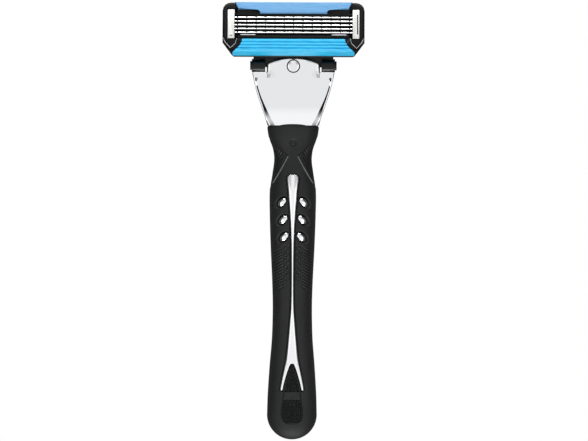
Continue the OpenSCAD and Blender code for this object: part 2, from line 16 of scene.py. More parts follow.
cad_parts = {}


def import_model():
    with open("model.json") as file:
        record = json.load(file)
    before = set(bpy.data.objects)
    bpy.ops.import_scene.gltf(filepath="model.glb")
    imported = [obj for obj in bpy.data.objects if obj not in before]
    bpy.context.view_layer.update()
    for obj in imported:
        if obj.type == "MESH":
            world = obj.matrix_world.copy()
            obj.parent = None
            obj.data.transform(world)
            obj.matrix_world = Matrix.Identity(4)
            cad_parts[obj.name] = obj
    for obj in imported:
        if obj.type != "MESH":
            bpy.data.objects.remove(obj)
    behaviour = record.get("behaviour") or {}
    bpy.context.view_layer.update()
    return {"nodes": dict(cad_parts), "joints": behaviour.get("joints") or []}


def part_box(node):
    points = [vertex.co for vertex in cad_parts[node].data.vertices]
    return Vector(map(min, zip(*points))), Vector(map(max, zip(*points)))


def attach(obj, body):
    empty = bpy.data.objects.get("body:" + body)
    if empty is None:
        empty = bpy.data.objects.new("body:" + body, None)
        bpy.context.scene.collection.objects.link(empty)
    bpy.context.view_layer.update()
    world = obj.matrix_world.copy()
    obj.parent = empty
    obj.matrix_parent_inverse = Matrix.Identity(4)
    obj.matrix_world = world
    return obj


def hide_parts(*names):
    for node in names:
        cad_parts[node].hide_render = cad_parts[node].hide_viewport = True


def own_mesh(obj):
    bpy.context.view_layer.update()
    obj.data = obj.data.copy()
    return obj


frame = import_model()
scene = bpy.context.scene

MM = 0.001


# ---- places that come from the frame ----

def corners(node):
    """Lowest and highest corner of a CAD node."""
    low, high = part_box(node)
    return np.array(low) / MM, np.array(high) / MM


PLACE = {joint["name"]: np.array(joint.get("pos_m", (0, 0, 0))) / MM for joint in frame["joints"]}
BALL_Y = PLACE["head_rock"][1]
HEAD_Z = PLACE["head_rock"][2]
PIVOT_Y = PLACE["cartridge_pivot"][1]
PIVOT_Z = PLACE["cartridge_pivot"][2]
TAIL_Y = corners("grip_body")[0][1]
COLLAR_Y = corners("grip_body")[1][1]
GRIP_LEN = COLLAR_Y - TAIL_Y
NECK_LEN = BALL_Y - COLLAR_Y

# The cartridge's own axes: x across, u up its face, n out of its face, from the pivot
TILT = math.radians(20)


def face_box(node):
    """Lowest and highest x, u and n of a CAD node, in the cartridge's own axes."""
    co = np.array([v.co for v in frame["nodes"][node].data.vertices]) / MM
    y = co[:, 1] - PIVOT_Y
    z = co[:, 2] - PIVOT_Z
    own = np.stack([co[:, 0], y * math.cos(TILT) - z * math.sin(TILT),
                    y * math.sin(TILT) + z * math.cos(TILT)], 1)
    return own.min(0), own.max(0)


def on_face(points):
    """Points in x, u and n, moved to the razor's axes."""
    x, u, n = np.moveaxis(np.asarray(points, float), -1, 0)
    return np.stack([x, PIVOT_Y + u * math.cos(TILT) + n * math.sin(TILT),
                     PIVOT_Z - u * math.sin(TILT) + n * math.cos(TILT)], -1)


BAY_HALF = face_box("blade_1")[1][0] + 0.05
FACE_N = face_box("comb_bar")[1][2] + 0.1
FLOOR_N = face_box("comb_bar")[0][2]
TOP_U = face_box("lube_strip")[1][1]
LOW_U = face_box("guard_rubber")[0][1]
GUARD_TOP_U = face_box("comb_bar")[0][1]
COMB_TOP_U = face_box("comb_bar")[1][1]


# ---- small tools ----

def linear(hex_colour):
    """sRGB hex to the linear colour that a shader takes."""
    srgb = [int(hex_colour[i:i + 2], 16) / 255 for i in (1, 3, 5)]
    return (*[c / 12.92 if c <= 0.04045 else ((c + 0.055) / 1.055) ** 2.4 for c in srgb], 1)


def smooth(low, high, value):
    t = np.clip((value - low) / (high - low), 0, 1)
    return t * t * (3 - 2 * t)


def saw(value):
    """Triangle wave between 0 and 1 with a period of 1."""
    return np.abs(2 * (value - np.floor(value)) - 1)


def curve(stations, place, column=1):
    """Smooth curve through one column of a list of stations."""
    last = len(stations) - 1

    def slope(k):
        before, after = stations[max(k - 1, 0)], stations[min(k + 1, last)]
        return (after[column] - before[column]) / (after[0] - before[0])

    i = 0
    while i < last - 1 and place > stations[i + 1][0]:
        i += 1
    a, b = stations[i], stations[i + 1]
    h = b[0] - a[0]
    t = min(1, max(0, (place - a[0]) / h))
    return (a[column] * (2 * t**3 - 3 * t**2 + 1) + b[column] * (3 * t**2 - 2 * t**3)
            + h * (slope(i) * (t**3 - 2 * t**2 + t) + slope(i + 1) * (t**3 - t**2)))


def new_object(name, points, faces, edges=()):
    mesh = bpy.data.meshes.new(name)
    mesh.from_pydata((np.asarray(points, float).reshape(-1, 3) * MM).tolist(), list(edges), faces)
    obj = bpy.data.objects.new(name, mesh)
    scene.collection.objects.link(obj)
    return obj


def tidy(obj, merge=0.002):
    """Merges doubles, drops empty faces and turns every face of the closed mesh outwards."""
    bm = bmesh.new()
    bm.from_mesh(obj.data)
    bmesh.ops.remove_doubles(bm, verts=bm.verts, dist=merge * MM)
    bmesh.ops.dissolve_degenerate(bm, edges=bm.edges, dist=1e-7)
    bmesh.ops.recalc_face_normals(bm, faces=bm.faces)
    bm.to_mesh(obj.data)
    bm.free()
    return obj


def shade(obj, angle=35):
    """Smooth shading with edges sharper than angle kept."""
    mesh = obj.data
    mesh.polygons.foreach_set("use_smooth", [True] * len(mesh.polygons))
    mesh.set_sharp_from_angle(angle=math.radians(angle))
    return obj


def bake_modifiers(obj):
    """Puts the result of the modifiers into the mesh."""
    graph = bpy.context.evaluated_depsgraph_get()
    made = bpy.data.meshes.new_from_object(obj.evaluated_get(graph))
    obj.modifiers.clear()
    obj.data = made
    return obj


def join(first, *others):
    """One object from several, as separate shells."""
    bm = bmesh.new()
    for obj in (first, *others):
        bm.from_mesh(obj.data)
    bm.to_mesh(first.data)
    bm.free()
    for obj in others:
        bpy.data.objects.remove(obj)
    return first


def cut(obj, *cutters):
    """Cuts closed shapes out of obj."""
    for cutter in cutters:
        modifier = obj.modifiers.new("cut", "BOOLEAN")
        modifier.operation = "DIFFERENCE"
        modifier.solver = "EXACT"
        modifier.object = cutter
    bake_modifiers(obj)
    for cutter in cutters:
        bpy.data.objects.remove(cutter)
    return obj


def piece(obj, body, slot, finish, *nodes, angle=35):
    """Finishes a piece: shading, material, and its place among the CAD's bodies and nodes."""
    shade(obj, angle)
    obj.data.materials.clear()
    obj.data.materials.append(finish)
    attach(obj, body)
    if nodes:
        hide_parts(*nodes)
    return obj


def ring_faces(rings, count):
    """Faces of a closed tube of rings, with a cap at each end."""
    faces = []
    for start in range(0, (rings - 1) * count, count):
        for i in range(count):
            after = (i + 1) % count
            faces.append((start + i, start + after, start + count + after, start + count + i))
    return faces + [tuple(range(count)), tuple((rings - 1) * count + i for i in range(count))]


def tube(name, rings):
    """Closed skin over rings of points."""
    return tidy(new_object(name, rings, ring_faces(len(rings), len(rings[0]))))


def slab(name, top, bottom):
    """Closed solid between two grids of points of the same size."""
    top, bottom = np.asarray(top), np.asarray(bottom)
    rows, columns = top.shape[:2]
    size = rows * columns

    def at(j, i, layer):
        return layer * size + j * columns + i

    faces = []
    for layer in (0, 1):
        faces += [(at(j, i, layer), at(j, i + 1, layer), at(j + 1, i + 1, layer), at(j + 1, i, layer))
                  for j in range(rows - 1) for i in range(columns - 1)]
    rim = ([(0, i) for i in range(columns - 1)] + [(j, columns - 1) for j in range(rows - 1)]
           + [(rows - 1, i) for i in range(columns - 1, 0, -1)] + [(j, 0) for j in range(rows - 1, 0, -1)])
    faces += [(at(*rim[k], 0), at(*rim[k - 1], 0), at(*rim[k - 1], 1), at(*rim[k], 1))
              for k in range(len(rim))]
    return tidy(new_object(name, np.concatenate([top.reshape(-1, 3), bottom.reshape(-1, 3)]), faces))


def block(name, low, high):
    """Box between two corners, used as a cutter."""
    x, y, z = zip(low, high)
    rings = [[(x[0], y[k], z[0]), (x[1], y[k], z[0]), (x[1], y[k], z[1]), (x[0], y[k], z[1])] for k in (0, 1)]
    return tube(name, rings)


def turned(name, centre, profile, sides=64):
    """Solid of revolution about Z from a list of radius and height, closed at both ends."""
    angles = np.linspace(0, 2 * math.pi, sides, endpoint=False)
    return tube(name, [[(centre[0] + r * math.cos(a), centre[1] + r * math.sin(a), z) for a in angles]
                       for r, z in profile])


def prism(name, outline, low, high, edge=0.0, steps=3):
    """Plate on the cartridge's face: an outline in x and u between two heights, its top edge rounded."""
    mesh = bpy.data.meshes.new(name)
    bm = bmesh.new()
    lower = [bm.verts.new(on_face((x, u, low)) * MM) for x, u in outline]
    upper = [bm.verts.new(on_face((x, u, high)) * MM) for x, u in outline]
    top = bm.faces.new(upper)
    bm.faces.new(lower)
    count = len(outline)
    for i in range(count):
        bm.faces.new((lower[i], lower[(i + 1) % count], upper[(i + 1) % count], upper[i]))
    if edge:
        bmesh.ops.bevel(bm, geom=list(top.edges), offset=edge * MM, segments=steps, profile=0.5,
                        affect="EDGES")
    bmesh.ops.recalc_face_normals(bm, faces=bm.faces)
    bm.to_mesh(mesh)
    bm.free()
    obj = bpy.data.objects.new(name, mesh)
    scene.collection.objects.link(obj)
    return obj


def refined(name, node, edge, steps=2, angle=32, round_edges=None, large_edge=0.0):
    """A merged copy of a CAD node with the moulded part's small edge radii, and a larger one where asked."""
    bm = bmesh.new()
    bm.from_mesh(frame["nodes"][node].data)
    bmesh.ops.remove_doubles(bm, verts=bm.verts, dist=0.001 * MM)
    bmesh.ops.dissolve_limit(bm, angle_limit=math.radians(1), verts=bm.verts, edges=bm.edges)
    if round_edges:
        chosen = [e for e in bm.edges if round_edges(e)]
        bmesh.ops.bevel(bm, geom=chosen, offset=large_edge * MM, segments=4, profile=0.5, affect="EDGES")
    mesh = bpy.data.meshes.new(name)
    bm.to_mesh(mesh)
    bm.free()
    obj = bpy.data.objects.new(name, mesh)
    scene.collection.objects.link(obj)
    bevel = obj.modifiers.new("edge", "BEVEL")
    bevel.width = edge * MM
    bevel.segments = steps
    bevel.limit_method = "ANGLE"
    bevel.angle_limit = math.radians(angle)
    return bake_modifiers(obj)


def add(tree, kind, inputs=None, **settings):
    """Adds a node with its settings, and values or links for its inputs."""
    node = tree.nodes.new(kind)
    for key, value in settings.items():
        setattr(node, key, value)
    for key, value in (inputs or {}).items():
        if isinstance(value, bpy.types.NodeSocket):
            tree.links.new(value, node.inputs[key])
        else:
            node.inputs[key].default_value = value
    return node


# ---- geometry trees for what repeats ----

def new_tree(name, **inputs):
    """Geometry tree with a geometry input, the named inputs and a geometry output."""
    tree = bpy.data.node_groups.new(name, "GeometryNodeTree")
    tree.interface.new_socket("Geometry", in_out="INPUT", socket_type="NodeSocketGeometry")
    for label, kind in inputs.items():
        tree.interface.new_socket(label, in_out="INPUT", socket_type="NodeSocket" + kind)
    tree.interface.new_socket("Geometry", in_out="OUTPUT", socket_type="NodeSocketGeometry")
    return tree, add(tree, "NodeGroupInput").outputs


def end_tree(tree, geometry, finish):
    """Ends a tree in plain, painted geometry."""
    real = add(tree, "GeometryNodeRealizeInstances", {"Geometry": geometry})
    painted = add(tree, "GeometryNodeSetMaterial", {"Geometry": real.outputs["Geometry"], "Material": finish})
    add(tree, "NodeGroupOutput", {"Geometry": painted.outputs["Geometry"]})
    return tree


def stamp_tree():
    """A stamp on each point, turned and stretched by the point's own turn and size."""
    tree, inputs = new_tree("stamps", Stamp="Object", Size="Float", Finish="Material")
    stamp = add(tree, "GeometryNodeObjectInfo", {"Object": inputs["Stamp"]})
    turn = add(tree, "GeometryNodeInputNamedAttribute", {"Name": "turn"}, data_type="FLOAT_VECTOR")
    size = add(tree, "GeometryNodeInputNamedAttribute", {"Name": "size"}, data_type="FLOAT_VECTOR")
    scaled = add(tree, "ShaderNodeVectorMath", {0: size.outputs["Attribute"], "Scale": inputs["Size"]},
                 operation="SCALE")
    stamps = add(tree, "GeometryNodeInstanceOnPoints",
                 {"Points": inputs["Geometry"], "Instance": stamp.outputs["Geometry"],
                  "Rotation": turn.outputs["Attribute"], "Scale": scaled.outputs["Vector"]})
    return end_tree(tree, stamps.outputs["Instances"], inputs["Finish"])


def bead_tree():
    """A round bead along a line of points."""
    tree, inputs = new_tree("bead", Radius="Float", Finish="Material")
    line = add(tree, "GeometryNodeMeshToCurve", {"Mesh": inputs["Geometry"]})
    circle = add(tree, "GeometryNodeCurvePrimitiveCircle", {"Resolution": 10, "Radius": inputs["Radius"]})
    bead = add(tree, "GeometryNodeCurveToMesh",
               {"Curve": line.outputs["Curve"], "Profile Curve": circle.outputs["Curve"], "Fill Caps": True})
    return end_tree(tree, bead.outputs["Mesh"], inputs["Finish"])


def coil_tree():
    """A wire coil that runs along Y from a place."""
    tree, inputs = new_tree("coil", Turns="Float", Radius="Float", Wire="Float", Length="Float",
                            Place="Vector",
                            Finish="Material")
    helix = add(tree, "GeometryNodeCurveSpiral",
                {"Resolution": 20, "Rotations": inputs["Turns"], "Start Radius": inputs["Radius"],
                 "End Radius": inputs["Radius"], "Height": inputs["Length"]})
    circle = add(tree, "GeometryNodeCurvePrimitiveCircle", {"Resolution": 8, "Radius": inputs["Wire"]})
    wire = add(tree, "GeometryNodeCurveToMesh",
               {"Curve": helix.outputs["Curve"], "Profile Curve": circle.outputs["Curve"], "Fill Caps": True})
    placed = add(tree, "GeometryNodeTransform",
                 {"Geometry": wire.outputs["Mesh"], "Translation": inputs["Place"],
                  "Rotation": (-math.pi / 2, 0, 0)})
    return end_tree(tree, placed.outputs["Geometry"], inputs["Finish"])


def grown(obj, tree, **values):
    """Runs a geometry tree on obj and keeps the plain mesh that it makes."""
    modifier = obj.modifiers.new(tree.name, "NODES")
    modifier.node_group = tree
    for item in tree.interface.items_tree:
        if item.in_out == "INPUT" and item.name in values:
            modifier[item.identifier] = values[item.name]
    return bake_modifiers(obj)


STAMPS = stamp_tree()
BEAD = bead_tree()
COIL = coil_tree()


def stamped(name, stamp, places, finish, size=1.0):
    """Stamps at places: each a point, a normal, a heading and a stretch along heading, side and normal."""
    points = new_object(name, [p[0] for p in places], [])
    turns, sizes = [], []
    for _, normal, heading, stretch in places:
        up = Vector(normal).normalized()
        along = (Vector(heading) - Vector(heading).dot(up) * up).normalized()
        turns.append(Matrix((along, up.cross(along), up)).transposed().to_euler())
        sizes.append(stretch)
    for label, values in (("turn", turns), ("size", sizes)):
        data = points.data.attributes.new(label, "FLOAT_VECTOR", "POINT").data
        data.foreach_set("vector", np.array(values, np.float32).ravel())
    made = grown(points, STAMPS, Stamp=stamp, Size=size, Finish=finish)
    bpy.data.objects.remove(stamp)
    return made


def bead(name, line, radius, finish):
    """A round bead along a line of points."""
    edges = [(i, i + 1) for i in range(len(line) - 1)]
    return grown(new_object(name, line, [], edges), BEAD, Radius=radius * MM, Finish=finish)


def dome(name, height, rings=4, sides=16, foot=0.3):
    """Dome of radius 1 with a short skirt below, for stamping."""
    angles = np.linspace(0, math.pi / 2, rings + 1)[:-1]
    profile = [(1, -foot)] + [(math.cos(a), height * math.sin(a)) for a in angles] + [(0.05, height)]
    return turned(name, (0, 0), profile, sides)


# ---- materials ----

def new_finish(name, colour, **sockets):
    """A material whose uniform values sit on the shader's own sockets."""
    made = bpy.data.materials.new(name)
    made.use_nodes = True
    shader = made.node_tree.nodes["Principled BSDF"]
    shader.inputs["Base Color"].default_value = linear(colour)
    for key, value in sockets.items():
        shader.inputs[key.replace("_", " ")].default_value = value
    return made, made.node_tree, shader


def grain(tree, size, stretch=(1, 1, 1), detail=3.0):
    """Noise with grains of size millimetres, stretched along the axes."""
    place = add(tree, "ShaderNodeTexCoord").outputs["Object"]
    scale = [1 / (size * MM * s) for s in stretch]
    mapped = add(tree, "ShaderNodeMapping", {"Vector": place, "Scale": scale})
    return add(tree, "ShaderNodeTexNoise",
               {"Vector": mapped.outputs["Vector"], "Scale": 1.0, "Detail": detail}).outputs["Fac"]


def vary(tree, shader, socket, factor, low, high):
    """Lets a pattern move a number of the shader between two values."""
    ranged = add(tree, "ShaderNodeMapRange",
                 {"Value": factor, "From Min": 0.3, "From Max": 0.7, "To Min": low, "To Max": high})
    tree.links.new(ranged.outputs["Result"], shader.inputs[socket])


def tint(tree, shader, factor, first, second):
    """Lets a pattern move the colour between two."""
    ramp = add(tree, "ShaderNodeValToRGB", {"Fac": factor})
    ramp.color_ramp.elements[0].position = 0.3
    ramp.color_ramp.elements[0].color = linear(first)
    ramp.color_ramp.elements[1].position = 0.7
    ramp.color_ramp.elements[1].color = linear(second)
    tree.links.new(ramp.outputs["Color"], shader.inputs["Base Color"])


def emboss(tree, shader, height, depth):
    """Bump of a depth in millimetres."""
    bump = add(tree, "ShaderNodeBump", {"Height": height, "Distance": depth * MM, "Strength": 1.0})
    tree.links.new(bump.outputs["Normal"], shader.inputs["Normal"])


def bright_chrome():
    """Zinc die casting, polished and chromed: a mirror with a faint ripple and thin smears from handling."""
    made, tree, shader = new_finish("bright_chrome", "#EDEEF0", Metallic=1.0, Roughness=0.04)
    vary(tree, shader, "Roughness", grain(tree, 6.0), 0.03, 0.08)
    emboss(tree, shader, grain(tree, 4.0, detail=1.0), 0.004)
    return made


def satin_chrome():
    """Brushed and chromed trim: soft reflection drawn out along the handle by brushing lines."""
    made, tree, shader = new_finish("satin_chrome", "#F8F8FA", Metallic=1.0, Roughness=0.15)
    lines = grain(tree, 0.12, (1, 60, 1))  # 0.12 mm lines, coarser than real brushing so that they show
    vary(tree, shader, "Roughness", lines, 0.1, 0.22)
    emboss(tree, shader, lines, 0.002)
    return made


def moulded_rubber():
    """Thermoplastic elastomer moulded against a spark-eroded steel: dull, with a fine even grain."""
    made, tree, shader = new_finish("moulded_rubber", "#191A1B", Roughness=0.58, IOR=1.4)
    fine = grain(tree, 0.3)  # 0.3 mm grain, coarser than a real eroded finish so that it shows
    tint(tree, shader, grain(tree, 14.0), "#141516", "#191A1A")
    vary(tree, shader, "Roughness", grain(tree, 5.0), 0.5, 0.66)
    emboss(tree, shader, fine, 0.02)
    return made


def soft_rubber():
    """Softer overmoulded elastomer: darker and a little glossier on its raised pattern."""
    made, tree, shader = new_finish("soft_rubber", "#151617", Roughness=0.5, IOR=1.4)
    tint(tree, shader, grain(tree, 2.0), "#121314", "#191A1B")
    vary(tree, shader, "Roughness", grain(tree, 1.5), 0.42, 0.58)
    emboss(tree, shader, grain(tree, 0.25), 0.012)
    return made


def polished_rubber_painted_highlight():
    """The same elastomer where the steel was polished and hands rub it: smoother, and coloured a lighter grey
    as a painted highlight along the grip's ridges.
    """
    made, tree, shader = new_finish("polished_rubber_painted_highlight", "#66676A", Roughness=0.3, IOR=1.5)
    vary(tree, shader, "Roughness", grain(tree, 2.0), 0.25, 0.4)
    return made


def black_abs():
    """Injection-moulded ABS: even semi-gloss black with a slight flow pattern."""
    made, tree, shader = new_finish("black_abs", "#0A0A0B", Roughness=0.34, IOR=1.45)
    vary(tree, shader, "Roughness", grain(tree, 3.0), 0.3, 0.42)
    emboss(tree, shader, grain(tree, 0.4), 0.004)
    return made


def black_acetal():
    """Moulded acetal: waxy, slightly deeper gloss, with knit lines along the arms."""
    made, tree, shader = new_finish("black_acetal", "#050506", Roughness=0.28, Specular_IOR_Level=0.3)
    vary(tree, shader, "Roughness", grain(tree, 1.8, (4, 1, 1)), 0.22, 0.36)
    emboss(tree, shader, grain(tree, 0.7), 0.005)
    return made


def housing_plastic():
    """Filled styrene copolymer: black, low gloss with a pebbled moulding grain."""
    made, tree, shader = new_finish("housing_plastic", "#050506", Roughness=0.36, Specular_IOR_Level=0.2)
    vary(tree, shader, "Roughness", grain(tree, 1.0), 0.34, 0.5)
    emboss(tree, shader, grain(tree, 0.22), 0.008)
    return made


def spring_steel():
    """Drawn stainless wire and strip: grey, with drawing lines along Y."""
    made, tree, shader = new_finish("spring_steel", "#A9ABAE", Metallic=1.0, Roughness=0.3)
    vary(tree, shader, "Roughness", grain(tree, 0.1, (1, 20, 1)), 0.22, 0.4)
    return made


def blade_steel():
    """Ground martensitic strip with a polymer coat: bright, with grinding lines along the edge."""
    made, tree, shader = new_finish("blade_steel", "#EEEEF0", Metallic=1.0, Roughness=0.24)
    lines = grain(tree, 0.09, (40, 1, 1))  # 0.09 mm grinding lines, coarser than real ones so that they show
    vary(tree, shader, "Roughness", lines, 0.2, 0.34)
    tint(tree, shader, grain(tree, 0.5, (5, 1, 1)), "#D9DADC", "#F4F4F5")
    emboss(tree, shader, lines, 0.002)
    return made


def rolled_aluminium():
    """Soft rolled aluminium strip, bent by a press: pale satin with rolling lines along the strip."""
    made, tree, shader = new_finish("rolled_aluminium", "#E8E7E3", Metallic=1.0, Roughness=0.32)
    lines = grain(tree, 0.08, (1, 30, 30))
    vary(tree, shader, "Roughness", lines, 0.26, 0.42)
    emboss(tree, shader, grain(tree, 0.5), 0.006)
    return made


def lubricating_polymer():
    """Water-soluble polymer extruded into the housing: waxy pale blue with faint streaks along the strip."""
    made, tree, shader = new_finish("lubricating_polymer", "#67A2D2", Roughness=0.42, Subsurface_Weight=0.12,
                                    Subsurface_Scale=0.0005, Coat_Weight=0.15, Coat_Roughness=0.35)
    tint(tree, shader, grain(tree, 0.4, (9, 1, 1)), "#5C99CC", "#6FA8D6")
    vary(tree, shader, "Roughness", grain(tree, 0.6, (6, 1, 1)), 0.36, 0.52)
    emboss(tree, shader, grain(tree, 0.35, (5, 1, 1)), 0.01)
    return made


def guard_rubber():
    """Dyed elastomer over the housing: saturated cyan, soft sheen, slightly see-through at its edges."""
    made, tree, shader = new_finish("guard_rubber", "#2BBCEC", Roughness=0.45, Subsurface_Weight=0.1,
                                    Subsurface_Scale=0.0004)
    tint(tree, shader, grain(tree, 0.8, (4, 1, 1)), "#24B2E2", "#35C6F4")
    vary(tree, shader, "Roughness", grain(tree, 0.5), 0.38, 0.54)
    emboss(tree, shader, grain(tree, 0.3), 0.006)
    return made


CHROME = bright_chrome()
SATIN = satin_chrome()
RUBBER = moulded_rubber()
SOFT = soft_rubber()
POLISHED_PAINTED_HIGHLIGHT = polished_rubber_painted_highlight()
ABS = black_abs()
ACETAL = black_acetal()
HOUSING = housing_plastic()
SPRING = spring_steel()
BLADE = blade_steel()
ALUMINIUM = rolled_aluminium()
LUBE = lubricating_polymer()
GUARD = guard_rubber()


# ---- grip ----

TAIL_R = 7.6
GRIP_W = 15.2
GRIP_T = 12.5
GRIP_ROUND = 2.5
COLLAR_R = 1.0
# Place along the grip and half width in percent, back and front in percent of the thickness
GRIP = [(7.7, 99.5, 9, 88), (14.5, 97, 0, 88), (24, 89.5, -4, 85), (32, 81.5, -4, 82.5), (41, 78.5, -4, 81.5),
        (49, 80.5, -4, 85), (62, 88, -4, 95), (72, 92, -4, 100), (79.5, 92, -4, 99.5), (85, 82.5, -4, 94.5),
        (89, 76.5, -4, 90), (92.5, 82, -1, 91), (95, 93, 7, 94.5), (97, 99.5, 13, 98),
        (100, 104.5, 20, 101.5)]
ANGLES = np.linspace(math.pi / 2, -math.pi / 2, 161)
MIDDLE = len(ANGLES) // 2


def place_of(y):
    return (y - TAIL_Y) / GRIP_LEN * 100


def along(place):
    return TAIL_Y + place / 100 * GRIP_LEN


class Section:
    """Right half of the grip's cross-section at one y, walked from the front's middle to the back's."""

    def __init__(self, y):
        place = max(place_of(y), GRIP[0][0])
        half = curve(GRIP, place, 1) / 100 * GRIP_W / 2
        back = curve(GRIP, place, 2) / 100 * GRIP_T
        front = curve(GRIP, place, 3) / 100 * GRIP_T
        depth = (front - back) / 2
        end = (y - TAIL_Y) / TAIL_R
        if end < 1:
            shrink = math.sqrt(max(1e-6, 1 - (1 - end) ** 2))
            half *= shrink
            depth *= shrink ** 0.8
        inset = 0.0
        if COLLAR_Y - y < COLLAR_R:
            inset = COLLAR_R - math.sqrt(max(0.0, COLLAR_R**2 - (COLLAR_R - (COLLAR_Y - y)) ** 2))
        c, s = np.cos(ANGLES), np.sin(ANGLES)
        power = 2 / GRIP_ROUND
        self.x = (half - inset) * np.abs(c) ** power
        z = (front + back) / 2 + (depth - 0.35 * inset) * np.sign(s) * np.abs(s) ** power
        self.z = (z + np.sqrt(z * z + 0.04)) / 2  # rests on a flat belly with a soft edge
        steps = np.hypot(np.diff(self.x), np.diff(self.z))
        self.arc = np.concatenate([[0], np.cumsum(steps)])
        spread = self.arc - ANGLES * 1e-9  # a hair apart, so that no two places are equal
        tx, tz = np.gradient(self.x, spread), np.gradient(self.z, spread)
        size = np.hypot(tx, tz)
        self.nx, self.nz = -tz / size, tx / size
        self.nx[0] = self.nx[-1] = 0
        self.nz[0], self.nz[-1] = 1, -1

    def at(self, arc):
        """x, z and the outward normal at lengths along the walk."""
        return [np.interp(arc, self.arc, values) for values in (self.x, self.z, self.nx, self.nz)]

    def front_arc(self, x):
        return np.interp(x, self.x[:MIDDLE + 1], self.arc[:MIDDLE + 1])

    def back_arc(self, x):
        return np.interp(-x, -self.x[MIDDLE:], self.arc[MIDDLE:])


@lru_cache(maxsize=None)
def section(y):
    return Section(y)


def on_grip(x, y, lift=0.0):
    """Point over the grip's front at x and y, and its outward normal."""
    def height(at_y):
        half = section(round(at_y, 3))
        return half.at(half.front_arc(abs(x)))

    _, z, nx, nz = height(y)
    rise = (height(y + 0.4)[1] - height(y - 0.4)[1]) / 0.8
    normal = Vector((math.copysign(nx / max(nz, 0.05), x), -rise, 1)).normalized()
    return Vector((x, y, z)) + normal * lift, normal


# Spine and its two legs: place in percent and half width, then the fork between the legs
SPINE = [(15.6, 3.55), (16.6, 3.48), (19.5, 3.01), (21.3, 2.65), (26, 1.8), (30, 1.38), (35.5, 0.92), (43, 0.4),
         (60, 0.38), (68, 0.62), (73.6, 1), (79.4, 1.42), (82.6, 1.78), (84.1, 1.86)]
FORK = [(15.6, 2.82), (17.4, 2.49), (19.5, 1.94), (21.5, 1.36), (23.4, 0.68), (24, 0.36), (24.15, 0)]
LEG_TIP_Y = along(SPINE[0][0])
SPINE_TOP_Y = along(SPINE[-1][0])
FORK_Y = along(FORK[-1][0])
SPINE_TOP_R = 1.0
# Tail pad: place in percent and half width
PAD = [(5, 1.2), (5.4, 2.2), (6.3, 3), (8, 3.4), (11.3, 3.1), (15, 2.55), (19, 1.75), (23.6, 0.15)]
PAD_LOW_Y = along(PAD[0][0])
PAD_TOP_Y = along(PAD[-1][0])
PAD_GAP = 0.28


def spine_edges(y):
    """Inner and outer edge of the spine, or of one of its legs, on the right."""
    outer = curve(SPINE, place_of(y))
    inner = curve(FORK, place_of(y)) if y < FORK_Y else 0.0
    to_top = SPINE_TOP_Y - y
    if to_top < SPINE_TOP_R:
        outer -= SPINE_TOP_R - math.sqrt(max(0, SPINE_TOP_R**2 - (SPINE_TOP_R - to_top) ** 2))
    half = (outer - inner) / 2
    tip = (y - LEG_TIP_Y) / half
    if tip < 1:
        middle = (outer + inner) / 2
        half *= math.sqrt(max(0, 1 - (1 - tip) ** 2))
        outer, inner = middle + half, middle - half
    return inner, outer


def pad_half(y):
    half = curve(PAD, place_of(y))
    if y > LEG_TIP_Y:
        half = min(half, max(0.05, curve(FORK, place_of(y)) - PAD_GAP))
    return half


# Apex and two ends of the side panels' front edges, on the right
PANEL_APEX = (1.5, 19.8)
PANEL_TOP = (6.3, 24.3)
PANEL_FOOT = (6.1, 11.5)
STUDS = [(3.25, 5.65), (2.85, 0.35), (2.55, -4.9)]
STUD_TURN = math.radians(42)
RING_Y = 23.7


def panel_edge(y):
    """x of a side panel's front edge."""
    end = PANEL_TOP if y > PANEL_APEX[1] else PANEL_FOOT
    return PANEL_APEX[0] + (y - PANEL_APEX[1]) / (end[1] - PANEL_APEX[1]) * (end[0] - PANEL_APEX[0])


def inlay_relief(x, y):
    """Seat of the spine and the tail pad, with the dark groove round them."""
    gap = np.full_like(x, 9.0)
    if LEG_TIP_Y <= y <= SPINE_TOP_Y:
        inner, outer = spine_edges(y)
        gap = np.maximum(inner - x, x - outer)
    elif y > SPINE_TOP_Y:
        gap = np.hypot(np.maximum(x - 0.9, 0), y - SPINE_TOP_Y)
    else:
        gap = np.hypot(x - 3.0, y - LEG_TIP_Y)
    seat = -0.6 * (1 - smooth(0.2, 0.52, gap))
    if PAD_LOW_Y <= y <= PAD_TOP_Y:
        seat = np.minimum(seat, -0.6 * (1 - smooth(-0.22, 0.0, x - pad_half(y))))
    return seat


def stud_relief(x, y):
    """Oval bowls that the studs stand in."""
    deep = np.zeros_like(x)
    for stud_x, stud_y in STUDS:
        dx, dy = x - stud_x - 0.35, y - stud_y
        long_way = dy * math.sin(STUD_TURN) - dx * math.cos(STUD_TURN)
        short_way = dx * math.sin(STUD_TURN) + dy * math.cos(STUD_TURN)
        r = np.hypot(long_way / 2.4, short_way / 1.45)
        deep = np.minimum(deep, -1.1 * (1 - smooth(0.62, 1.05, r)))
    return deep


def thumb_relief(arc, x, y):
    """Slanted ribs and crossed diamonds on both sides of the spine."""
    if not -21 < y < -6.5:
        return np.zeros_like(x)
    split = 2.9
    inner = smooth(0.75, 1.05, arc) * (1 - smooth(split - 0.1, split + 0.1, arc))
    inner *= smooth(-18.6, -18.1, y) * (1 - smooth(-7.6, -7.1, y))
    outer = smooth(split - 0.1, split + 0.1, arc) * (1 - smooth(6.0, 6.5, arc))
    outer *= smooth(-20.7, -20.2, y + 0.15 * (arc - split))
    outer *= 1 - smooth(-7.9, -7.4, y + 0.5 * (arc - split))
    diamonds = np.minimum(saw(y / 1.8 + arc / 1.46), saw(y / 1.8 - arc / 1.46))
    ribs = saw((y + 0.5 * arc) / 0.9)
    return 0.5 * (inner * (diamonds - 0.6) + outer * (ribs - 0.7) * 0.8)


def ring_relief(x, y):
    """A plain moulded ring with a dot below the collar."""
    r = np.hypot(x, y - RING_Y)
    return -0.3 * np.exp(-((r - 0.85) / 0.18) ** 2) - 0.25 * np.exp(-(r / 0.22) ** 2)


